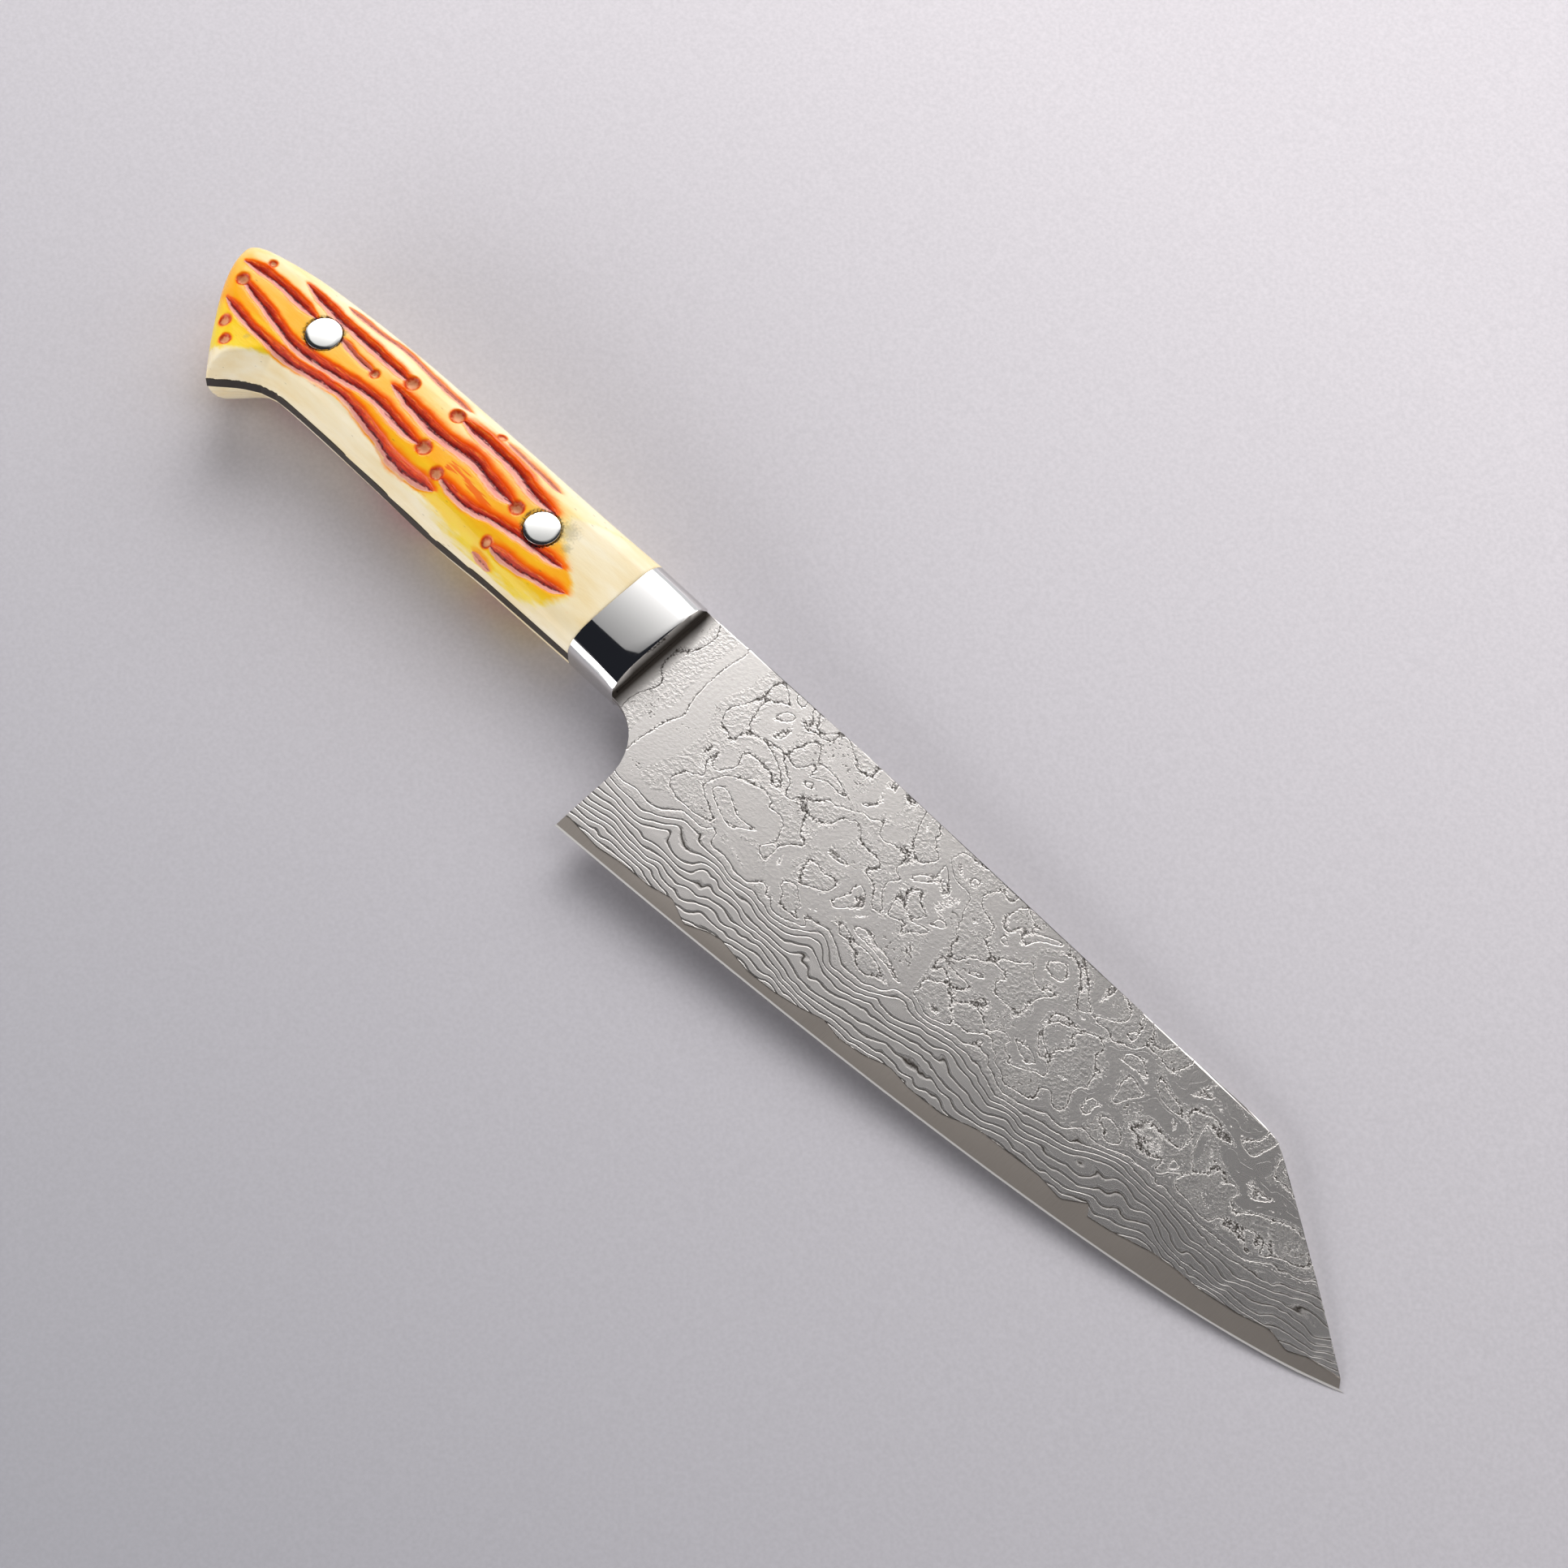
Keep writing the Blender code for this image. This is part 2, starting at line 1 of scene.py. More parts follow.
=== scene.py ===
"""Bunka kitchen knife, dressed: etched layered blade, mirror bolster, jigged and dyed bone."""
import math

import bpy
import numpy as np
from mathutils import Matrix, Vector


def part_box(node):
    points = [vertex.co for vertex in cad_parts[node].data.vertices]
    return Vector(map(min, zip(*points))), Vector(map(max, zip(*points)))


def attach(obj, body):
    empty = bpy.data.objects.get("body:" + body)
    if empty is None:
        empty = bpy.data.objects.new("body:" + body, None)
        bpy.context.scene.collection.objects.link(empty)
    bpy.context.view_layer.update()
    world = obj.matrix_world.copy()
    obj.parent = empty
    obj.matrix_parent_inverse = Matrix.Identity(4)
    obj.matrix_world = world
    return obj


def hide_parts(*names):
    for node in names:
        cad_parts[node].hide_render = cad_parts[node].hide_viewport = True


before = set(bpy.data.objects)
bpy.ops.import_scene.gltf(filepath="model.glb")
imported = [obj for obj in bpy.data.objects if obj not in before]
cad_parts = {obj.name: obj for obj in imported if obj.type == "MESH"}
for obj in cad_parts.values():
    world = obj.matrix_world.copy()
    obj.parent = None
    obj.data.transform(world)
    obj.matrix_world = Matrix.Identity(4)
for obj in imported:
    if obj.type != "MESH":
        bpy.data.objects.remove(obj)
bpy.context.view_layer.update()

MM = 0.001

# Places that the frame gives, in metres
SEAM_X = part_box("bolster_right")[0].x            # seam between the scales and the bolster
BOLSTER_FRONT_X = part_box("bolster_right")[1].x
MIDDLE_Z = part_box("bolster_right")[0].z          # middle of the blade's thickness
RIVET_REAR = sum(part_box("rivet_rear_female"), Vector()) / 2
RIVET_FRONT = sum(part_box("rivet_front_female"), Vector()) / 2
RIVETS_Y = RIVET_REAR.y
TANG_TOP_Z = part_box("handle_scale_right")[0].z
POINT_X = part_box("blade_core_and_tang")[1].x

# Camera of the photograph: direction from the knife to it, distance and lens
VIEW_TURN = 45.0
VIEW_RISE = 62.2
VIEW_DISTANCE = 0.945
LENS = 123.6
SENSOR = 36.0
AIM_FROM_SEAM = (0.04512, -0.00294)   # point under the middle of the picture, from the seam

# Bone scales
BONE_CELL = 0.00034         # size of the faces that the bone is carved in
SIDE_RISE = 1.5             # millimetres over the tang from which a scale's outer face begins
GROOVE_DEPTH = 0.85         # millimetres, on a groove 2 mm wide
GROOVE_CURVE = 1.35         # exponent of its section, between a plain V (1) and a round one (2)
GROOVE_END = 1.9            # length over which its ends taper, in groove widths
WIDTH_SWING = 0.12          # share by which its width swings along it
WANDER = 0.06               # millimetres that it strays from its line
SPINE_WALL = 1.15           # width of a cut's steep wall on the spine's side, of its half width
BELLY_WALL = 1.25, 1.75     # and of the gentler one on the belly's side, at these places
BELLY_WALL_AT = -90, -30    # in millimetres from the seam
LIP_SPINE = 0.85            # millimetres that the red runs out from a cut towards the spine
LIP_SPREAD = 0.6, 1.4       # and the share of that which it reaches at these places
LIP_SPREAD_AT = -75, -35    # in millimetres from the seam
LIP_BELLY = 0.40            # millimetres that it runs out towards the belly
BELLY_DYE = 0.45            # strength of the dye there, as a share of that on the other side
FULL_DYE = 1.5              # width from which a cut's dye is at its full strength
LEAST_DYE = 0.35            # and its strength on the narrowest
FAINT_UNDER = 1.45          # width under which the dye in the cut itself is faint
PIT_DEPTH = GROOVE_DEPTH / 2.4      # of a pit, as a share of its diameter
PIT_DYE = 0.7               # strength of the dye round a pit
CROWN = 0.25                # millimetres that a scale falls away CROWN_HALF from the rivets' line
CROWN_HALF = 7.0
LEVEL_MARGIN = 0.45         # millimetres beside a groove that are smoothed before it is carved
# Jigged grooves in millimetres from the seam and the rivets' line: width, then the points.
GROOVES = (
    (2.0, ((-98.1, 0.9), (-92.2, 1.8), (-86.8, 1.8), (-79.3, 1.4))),
    (2.0, ((-95.5, -2.2), (-87.7, -3.5), (-79.1, -5.1), (-71.4, -4.5), (-62.0, -3.0),
           (-57.3, -2.9), (-51.9, -3.6), (-46.6, -3.8))),
    (1.7, ((-95.2, -6.6), (-88.0, -7.9), (-78.6, -8.0), (-67.3, -6.5), (-62.5, -6.4),
           (-54.3, -7.6), (-47.6, -8.8), (-38.7, -8.3))),
    (1.2, ((-73.5, 1.6), (-68.4, 0.9), (-63.1, 0.6))),
    (1.9, ((-86.0, 5.4), (-77.5, 4.5), (-68.5, 4.3), (-57.5, 4.1))),
    (1.0, ((-77.4, 7.6), (-68.5, 7.9), (-63.2, 8.7), (-53.4, 7.9), (-45.6, 7.8))),
    (2.4, ((-58.9, 1.3), (-50.1, 0.5), (-45.1, 0.2), (-37.1, 1.1), (-32.8, 0.3), (-25.5, -0.4))),
    (2.1, ((-45.1, 5.3), (-38.3, 5.4), (-29.9, 5.0), (-25.7, 4.1), (-19.6, 3.8))),
    (0.8, ((-35.8, 8.1), (-30.3, 7.9), (-22.1, 7.7))),
    (1.6, ((-39.5, -5.9), (-32.1, -6.4), (-25.0, -4.7), (-18.9, -3.7), (-10.9, -2.8))),
    (1.4, ((-23.6, -8.7), (-16.6, -8.2), (-7.1, -6.1))),
    (0.7, ((-25.6, -10.9), (-21.0, -11.2))),
)
# Pits drilled by the same burr: place along and across, then diameter, in millimetres
PITS = (
    (-95.5, -2.2, 2.6), (-45.6, -3.7, 3.1), (-63.1, 0.6, 1.9), (-56.9, 4.1, 3.0),
    (-24.9, -0.4, 2.9), (-46.1, 5.2, 3.0), (-37.6, 8.1, 1.6), (-40.1, -5.7, 2.6),
    (-24.2, -8.6, 2.0), (-91.7, -10.2, 2.4), (-88.6, -13.0, 2.2), (-93.9, 3.9, 1.5),
)

# Border of the dyed area along the belly, with the width over which it fades, and across the
# front of a scale
DYE_BELLY = (
    (-99.0, -17.5, 3.0), (-87.8, -15.0, 3.0), (-84.7, -12.5, 2.5), (-80.5, -9.6, 1.4),
    (-72.0, -8.2, 1.2), (-67.0, -7.7, 1.2), (-62.5, -7.6, 1.2), (-54.3, -8.9, 1.4),
    (-47.6, -10.1, 1.8), (-38.7, -10.2, 3.0), (-33.5, -11.0, 4.0), (-28.7, -11.8, 5.0),
    (-23.6, -12.5, 5.5), (-14.0, -12.3, 5.5), (-9.4, -10.6, 5.0), (-6.0, -8.0, 4.5),
)
DYE_FRONT = (
    (-10.0, -13.0), (-7.0, -8.5), (-6.0, -6.7), (-6.4, -4.0), (-10.0, -2.2), (-12.7, 0.0),
    (-15.3, 2.5), (-17.0, 5.2), (-13.3, 7.8), (-6.0, 11.0),
)
# Dry stroke of orange dye with half its width, and scuffs: place along and across, then radius
BRUSHED = ((-39.3, -3.4), (-36.8, -2.8), (-33.0, -3.3), (-28.6, -4.7))
BRUSH_HALF = 1.9
SCUFFS = ((-15.0, 3.0, 3.4), (-12.9, 0.4, 1.8), (-85.9, -10.0, 1.0), (-73.5, 3.2, 1.0))
# Values kept on the bone's mesh, each from 0 to 1 but the wall, from -1 (belly) to 1 (spine)
BONE_MAPS = "cut", "wall", "gold", "blush", "faint", "pit", "well_dirt_and_shade", "brushed", "scuff"

# Layered blade: the border between core and cladding, in millimetres from the seam and the
# rivets' line
BORDER = (
    (23.5, -34.2), (30.9, -34.8), (36.0, -34.0), (42.7, -33.7), (47.4, -32.6), (52.2, -34.6),
    (56.5, -32.7), (59.1, -32.2), (66.5, -33.2), (72.4, -32.8), (77.7, -31.8), (82.5, -30.4),
    (86.5, -31.2), (91.9, -30.4), (96.5, -28.8), (101.5, -29.4), (108.8, -28.9), (115.2, -26.6),
    (121.9, -26.0), (128.6, -25.4), (134.0, -26.0), (136.2, -24.5), (138.2, -23.1),
    (139.4, -25.1), (143.8, -24.3), (151.9, -22.1), (156.8, -21.6), (161.9, -21.4),
    (169.0, -20.2), (175.0, -18.4), (179.5, -19.3), (182.9, -17.6), (187.2, -17.05),
)
LAYER_STEP = 1.1            # millimetres between two layer lines near the edge
FLAT_ABOVE = 15.0           # height over which the layers turn flat, in millimetres
ISLANDS_FROM, ISLANDS_TO = 15.0, 23.0   # heights over which lines give way to islands
BENT_FROM, BENT_TO = 6.0, 14.0      # millimetres from the heel over which bent layers end
BORDER_BAND = 5.2           # height over the edge that holds the cladding's plain border
BORDER_CUTS = 7             # cuts that split each of its edges
SPLIT_SHORT, WAVES_SHORT = 2.0, 2.6     # millimetres from the point where cuts and waves end
WAVES_START = 0.2           # millimetres from the heel where the waves start
OUTER_OVER = 0.25           # height over the blade's middle that only the outer face has
BORDER_SINK = 0.1           # height over it of the border's inner edge, hidden in the core
SPINE_EASE = 0.0002         # rounding along the spine and the slanted tip
THIN = 0.05                 # more than half the thickness of the cutting edge, in millimetres
HONED = 0.35                # height of the honed bevel along the cutting edge, in millimetres
HONED_HALF = 0.05           # half the thickness at its top
CORE_UNDER = 1.5            # how far the core's ground sides run on under the cladding
POINT_TAPER = 6.0           # millimetres from the point within which they don't, after a fade
EDGE_STEPS = 8              # straight runs by which a shader follows the cutting edge
TANG_FROM = -12.0           # millimetres from the heel behind which the steel is left dark
CORNER_SHADE = 3.6                # width of the strip beside the bolster darkened with painted shade and a painted reflection of the bolster

# Bolster and rivets
BOLSTER_RIM = 0.00009       # bevel round the bolster's ends
BOLSTER_CUTS = 14           # cuts that let its sides take the crown
BOLSTER_FLANK = 2.0         # millimetres off the middle from which they take it
# Cuts that let its front be eased, in millimetres from the front
FRONT_CUTS = (4.0, 3.2, 2.5, 1.9, 1.4, 1.0, 0.7, 0.45, 0.25)
FRONT_EASE = 0.7, 4.0       # width that the wheel eased at the spine, and added at the belly
EASE_SLOPE = 0.1            # slope with which the eased front ends
RIVET_RIM = 0.00015         # bevel of a rivet's edges
RIM_AT = 0.97               # share of a head's radius beyond which its rim lies
RIVET_CROWN = 0.3           # height of a worn, polished crown as a share of the plain one
WELL_RADIUS = 3.7           # of the well round a rivet's head, in millimetres
WELL_DEPTH = 1.1
WELL_SLOPE = 0.25           # width of its wall
WELL_SHADE_WIDTH = 0.4           # of the dirt and painted shade in and round it

# Stage, in metres
LAND_FRONT = -35.7          # front end of the flat land on a scale, millimetres from the seam
FLOOR_SIZE = 3.0
FLOOR_GAP = 0.00005
ROOM_LOW, ROOM_HIGH = 0.30, 0.62  # sines of the heights where the room darkens
ROOM_BRIGHT, ROOM_DARK = "#ECEEF2", "#24262C"
SAIL_HEIGHT = 0.92          # of the white sail hung over the knife
SAIL_X, SAIL_Y = (-1.30, -0.20), (0.21, 1.50)
SAIL_HOT = (-0.85, 0.95, SAIL_HEIGHT)  # where the lamp behind it shines through
SAIL_PLATEAU = 0.45         # radius within which it shines evenly
SAIL_FADE = 0.17            # and the distance beyond over which it falls to a third
SAIL_POWER = 26.0           # watts, if all of it shone as brightly
SHADE_FROM, SHADE_TO = 0.16, -0.22  # across the paper, where painted shade of the light's falloff turns it greyer
BOXES = (                   # name, place, size and watts
    ("back_box", (-0.35, 1.00, 0.55), (1.00, 0.45), 4.5),
    ("top_box", (0.42, 0.22, 1.05), (0.60, 0.60), 2.0),
    ("side_box", (0.75, 0.65, 0.70), (0.60, 0.60), 1.4),
    ("front_card", (-0.30, -0.90, 0.30), (1.00, 0.45), 5.0),
)


def knife(along, across):
    """Plan place from millimetres off the seam and the rivets' line, in metres."""
    return Vector((SEAM_X + along * MM, RIVETS_Y + across * MM))


# Modelling helpers
def pick(piece):
    """Makes a piece the only selected one."""
    bpy.ops.object.select_all(action="DESELECT")
    piece.select_set(True)
    bpy.context.view_layer.objects.active = piece


def open_all(piece):
    """Opens a piece in edit mode with all of it selected."""
    pick(piece)
    bpy.ops.object.mode_set(mode="EDIT")
    bpy.ops.mesh.select_all(action="SELECT")


def leave_edit():
    bpy.ops.object.mode_set(mode="OBJECT")


def choose(piece, kind, wanted):
    """Opens a piece in edit mode with only the wanted vertices, edges or faces selected."""
    pick(piece)
    bpy.ops.object.mode_set(mode="EDIT")
    bpy.ops.mesh.select_mode(type=kind)
    bpy.ops.mesh.select_all(action="DESELECT")
    leave_edit()
    mesh = piece.data
    for item in {"VERT": mesh.vertices, "EDGE": mesh.edges, "FACE": mesh.polygons}[kind]:
        item.select = wanted(item)
    bpy.ops.object.mode_set(mode="EDIT")


def copy_of(node, name):
    """A copy of a CAD node with its loose triangles merged."""
    piece = bpy.data.objects.new(name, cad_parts[node].data.copy())
    piece.data.name = name
    piece.data.materials.clear()
    bpy.context.scene.collection.objects.link(piece)
    open_all(piece)
    bpy.ops.mesh.remove_doubles(threshold=0.000001)
    leave_edit()
    return piece


def points_of(piece):
    """Vertex places as an array, one row each."""
    flat = np.empty(len(piece.data.vertices) * 3, np.float32)
    piece.data.vertices.foreach_get("co", flat)
    return flat.reshape(-1, 3).astype(float)


def put_points(piece, points):
    piece.data.vertices.foreach_set("co", points.astype(np.float32).ravel())
    piece.data.update()


def smooth(piece, angle):
    """Shades a piece smooth, but for edges sharper than an angle in degrees."""
    pick(piece)
    bpy.ops.object.shade_smooth_by_angle(angle=math.radians(angle))


def apply_all(piece):
    pick(piece)
    for modifier in list(piece.modifiers):
        bpy.ops.object.modifier_apply(modifier=modifier.name)


def round_rims(piece, width):
    """Bevels the sharp edges of a piece."""
    rim = piece.modifiers.new("rim", "BEVEL")
    rim.width = width
    rim.segments = 2
    rim.limit_method = "ANGLE"
    rim.angle_limit = math.radians(60)
    apply_all(piece)


def settle(piece):
    """Leaves the object at the origin, with its place in its mesh."""
    pick(piece)
    bpy.ops.object.transform_apply(location=True, rotation=True, scale=True)


def mirrored(piece, name):
    """The same piece on the other side of the blade."""
    pick(piece)
    bpy.ops.object.duplicate()
    other = bpy.context.active_object
    other.name = name
    other.data.name = name
    points = points_of(other)
    points[:, 2] = 2 * MIDDLE_Z - points[:, 2]
    put_points(other, points)
    open_all(other)
    bpy.ops.mesh.normals_make_consistent(inside=False)
    leave_edit()
    return other


def finish_piece(piece, look, slot, *nodes):
    """Dresses a piece, hangs it on the root body and hides the CAD nodes that it stands for."""
    piece.data.materials.clear()
    piece.data.materials.append(look)
    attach(piece, "root")
    if nodes:
        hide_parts(*nodes)


# Material helpers
RGBA = {"output": 2, "data_type": "RGBA"}       # settings of a node that mixes colours
SOFT = {"interpolation_type": "SMOOTHSTEP"}     # and of a range with soft ends


def colour(code):
    """Linear colour from an sRGB hex code."""
    channels = [int(code[i:i + 2], 16) / 255 for i in (1, 3, 5)]
    linear = [c / 12.92 if c <= 0.04045 else ((c + 0.055) / 1.055) ** 2.4 for c in channels]
    return (*linear, 1.0)


def start_material(name):
    """A material's node tree with its shader, ready for more nodes."""
    made = bpy.data.materials.new(name)
    made.use_nodes = True
    return made, made.node_tree, made.node_tree.nodes["Principled BSDF"]


def add(tree, kind, inputs=None, output=0, stops=(), curve=(), **settings):
    """Adds a shader node and gives one of its outputs. An input is a number, a colour's
    code, a constant vector or another output."""
    made = tree.nodes.new("ShaderNode" + kind)
    for name, value in settings.items():
        setattr(made, name, value)
    for key, value in (inputs or {}).items():
        if isinstance(value, bpy.types.NodeSocket):
            tree.links.new(value, made.inputs[key])
        else:
            made.inputs[key].default_value = colour(value) if isinstance(value, str) else value
    for i, (place, code) in enumerate(stops):
        elements = made.color_ramp.elements
        element = elements[i] if i < 2 else elements.new(place)
        element.position = place
        element.color = colour(code)
    for i, place in enumerate(curve):
        dots = made.mapping.curves[0].points
        dot = dots[i] if i < 2 else dots.new(*place)
        dot.location = place
    if curve:
        made.mapping.update()
    return made.outputs[output]


# Jigged bone
def smooth_line(points):
    """Close points on a smooth line through a groove's own points."""
    own = np.array(points)
    own = np.vstack([2 * own[0] - own[1], own, 2 * own[-1] - own[-2]])
    t = np.linspace(0, 1, 10, endpoint=False)[:, None]
    runs = []
    for a, b, c, d in zip(own, own[1:], own[2:], own[3:]):
        runs.append(0.5 * (2 * b + (c - a) * t + (2 * a - 5 * b + 4 * c - d) * t ** 2
                           + (3 * b - a - 3 * c + d) * t ** 3))
    return np.vstack(runs + [own[-2:-1]])


def off_the_line(places, line):
    """Signed distance of each place to a line, positive towards the spine, and run along it."""
    best = np.full(len(places), 1e9)
    signed = np.zeros(len(places))
    run = np.zeros(len(places))
    passed = 0.0
    for a, b in zip(line, line[1:]):
        step = b - a
        length = np.hypot(*step)
        t = np.clip((places - a) @ step / length ** 2, 0, 1)
        gap = places - (a + t[:, None] * step)
        distance = np.hypot(gap[:, 0], gap[:, 1])
        nearer = distance < best
        best[nearer] = distance[nearer]
        side = np.sign(step[0] * gap[:, 1] - step[1] * gap[:, 0])
        signed[nearer] = (side * distance)[nearer]
        run[nearer] = passed + t[nearer] * length
        passed += length
    return signed, run, passed


def groove_places(piece):
    """Place of each vertex in millimetres from the seam and the rivets' line."""
    return (points_of(piece)[:, :2] - np.array([SEAM_X, RIVETS_Y])) / MM


def level_grooves(piece):
    """Smooths the plain grooves of a copied scale away, so that fine ones can be carved."""
    places = groove_places(piece)
    high = points_of(piece)[:, 2] > TANG_TOP_Z + SIDE_RISE * MM
    near = np.zeros(len(places), bool)
    for width, own in GROOVES:
        signed, _, _ = off_the_line(places, smooth_line(own))
        near |= (np.abs(signed) < width / 2 + LEVEL_MARGIN) & high
    choose(piece, "VERT", lambda vertex: near[vertex.index])
    bpy.ops.mesh.vertices_smooth(factor=0.5, repeat=300)
    leave_edit()


def waver(run, seed):
    """Slow, uneven swing between about -1 and 1 along a groove."""
    return (0.6 * np.sin(0.6 * run + 2.4 * seed) + 0.3 * np.sin(1.7 * run + 5.1 * seed)
            + 0.15 * np.sin(6.3 * run + seed))


def crowned(points):
    """Fall of the gently crowned sides, in metres, at each place."""
    off = np.abs(points[:, 1] - RIVETS_Y) / MM / CROWN_HALF
    return CROWN * MM * np.clip(off, 0, 1.4) ** 2


def carve(piece):
    """Cuts the grooves, the pits and the rivets' wells, and keeps where the dye goes."""
    points = points_of(piece)
    places = groove_places(piece)
    depth, cut, wall, blush, faint, pit, scuff, well_dirt_and_shade = np.zeros((8, len(points)))
    nearest = np.full(len(points), 1e9)
    for number, (width, own) in enumerate(GROOVES):
        signed, run, total = off_the_line(places, smooth_line(own))
        end = np.minimum(run, total - run) / (GROOVE_END * width)
        taper = np.clip(end, 0.05, 1) ** 0.5
        half = width / 2 * taper * (1 + WIDTH_SWING * waver(run, number))
        signed = signed + WANDER * waver(1.7 * run, number + 3)
        belly_wall = np.interp(places[:, 0], BELLY_WALL_AT, BELLY_WALL)
        half = half * np.where(signed > 0, SPINE_WALL, belly_wall)
        across = np.abs(signed) / half
        here = GROOVE_DEPTH * width / 2 * taper * np.clip(1 - across ** GROOVE_CURVE, 0, None)
        deeper = here > depth
        depth[deeper] = here[deeper]
        cut[deeper] = np.clip(1 - across, 0, 1)[deeper]
        off = np.abs(signed) - half
        close = off < nearest
        nearest[close] = off[close]
        wall[close] = np.clip(signed / half, -1, 1)[close]
        faint[close] = np.clip((FAINT_UNDER - width) / 0.5, 0, 1)
        spread = np.interp(places[:, 0], LIP_SPREAD_AT, LIP_SPREAD)
        lip = np.where(signed > 0, LIP_SPINE * spread, LIP_BELLY)
        strength = np.clip(width / FULL_DYE, LEAST_DYE, 1) * np.where(signed > 0, 1, BELLY_DYE)
        blush = np.maximum(blush, strength * np.exp(-np.clip(off, 0, None) / lip))
    for along, across, diameter in PITS:
        gap = places - np.array([along, across])
        share = np.hypot(gap[:, 0], gap[:, 1]) / (diameter / 2)
        here = PIT_DEPTH * diameter * np.sqrt(np.clip(1 - share ** 2, 0, None))
        deeper = here > depth
        depth[deeper] = here[deeper]
        pit = np.maximum(pit, np.clip(1 - share, 0, 1))
        off = np.clip(share - 1, 0, None) * diameter / 2
        blush = np.maximum(blush, PIT_DYE * np.exp(-off / LIP_BELLY))
    # The dyed area ends along the belly and across the front.
    along, across, fade = np.array(DYE_BELLY).T
    belly = places[:, 1] - np.interp(places[:, 0], along, across)
    front = np.interp(places[:, 1], *np.array(DYE_FRONT)[:, ::-1].T) - places[:, 0]
    fade = np.interp(places[:, 0], along, fade)
    gold = np.clip(0.5 + np.minimum(belly, front) / fade, 0, 1)
    signed, _, _ = off_the_line(places, smooth_line(BRUSHED))
    brushed = np.clip(1 - np.abs(signed) / BRUSH_HALF, 0, 1)
    for along, across, radius in SCUFFS:
        gap = np.hypot(places[:, 0] - along, places[:, 1] - across)
        scuff = np.maximum(scuff, np.clip(1 - gap / radius, 0, 1))
    outward = np.clip((points[:, 2] - TANG_TOP_Z) / MM - SIDE_RISE, 0, 1)
    depth = depth * MM + crowned(points)
    for rivet in (RIVET_REAR, RIVET_FRONT):
        off = np.hypot(points[:, 0] - rivet.x, points[:, 1] - rivet.y) / MM
        well = np.clip((WELL_RADIUS - off) / WELL_SLOPE, 0, 1)
        depth = np.maximum(depth, WELL_DEPTH * MM * well)
        # Dirt and painted shade in the well, fading out beyond its edge
        well_dirt_and_shade = np.maximum(well_dirt_and_shade, np.clip(1 - (off - WELL_RADIUS) / WELL_SHADE_WIDTH, 0, 1))
    points[:, 2] -= depth * outward
    put_points(piece, points)
    for name, values in zip(BONE_MAPS, (cut, wall, gold, blush, faint, pit, well_dirt_and_shade, brushed,
                                        scuff)):
        layer = piece.data.attributes.new(name, "FLOAT", "POINT")
        layer.data.foreach_set("value", (values * outward).astype(np.float32))


def fill_wells(piece):
    """Takes the rivets' holes out of a copied scale, so that it can be meshed afresh."""
    vertices = piece.data.vertices
    reach = (WELL_RADIUS + 0.1) * MM
    inside = {v.index for v in vertices
              if min((v.co.xy - r.xy).length for r in (RIVET_REAR, RIVET_FRONT)) < reach}
    choose(piece, "FACE", lambda face: inside.issuperset(face.vertices))
    bpy.ops.mesh.delete(type="FACE")
    bpy.ops.mesh.select_all(action="SELECT")
    bpy.ops.mesh.fill_holes(sides=0)
    leave_edit()


def make_scales(look):
    """Right scale, carved from a fine mesh, and its mirror image."""
    right = copy_of("handle_scale_right", "bone_scale_right")
    fill_wells(right)
    fine = right.modifiers.new("fine", "REMESH")
    fine.mode = "VOXEL"
    fine.voxel_size = BONE_CELL
    apply_all(right)
    level_grooves(right)
    carve(right)
    smooth(right, 50)
    left = mirrored(right, "bone_scale_left")
    smooth(left, 50)
    finish_piece(right, look, "dyed_bone", "handle_scale_right")
    finish_piece(left, look, "dyed_bone", "handle_scale_left")


# Blade
def edge_line():
    """Cutting edge as rows of x and y, read from the CAD core, heel first."""
    points = points_of(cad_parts["blade_core_and_tang"])
    thin = points[np.abs(points[:, 2] - MIDDLE_Z) < THIN * MM]
    thin = thin[thin[:, 0] > SEAM_X]
    _, first = np.unique(np.round(thin[:, 0], 6), return_index=True)
    return thin[first][:, :2]


def border_height(x):
    """Height of the waved border at x, in metres."""
    own = np.array([knife(*p) for p in BORDER])
    return np.interp(x, own[:, 0], own[:, 1])


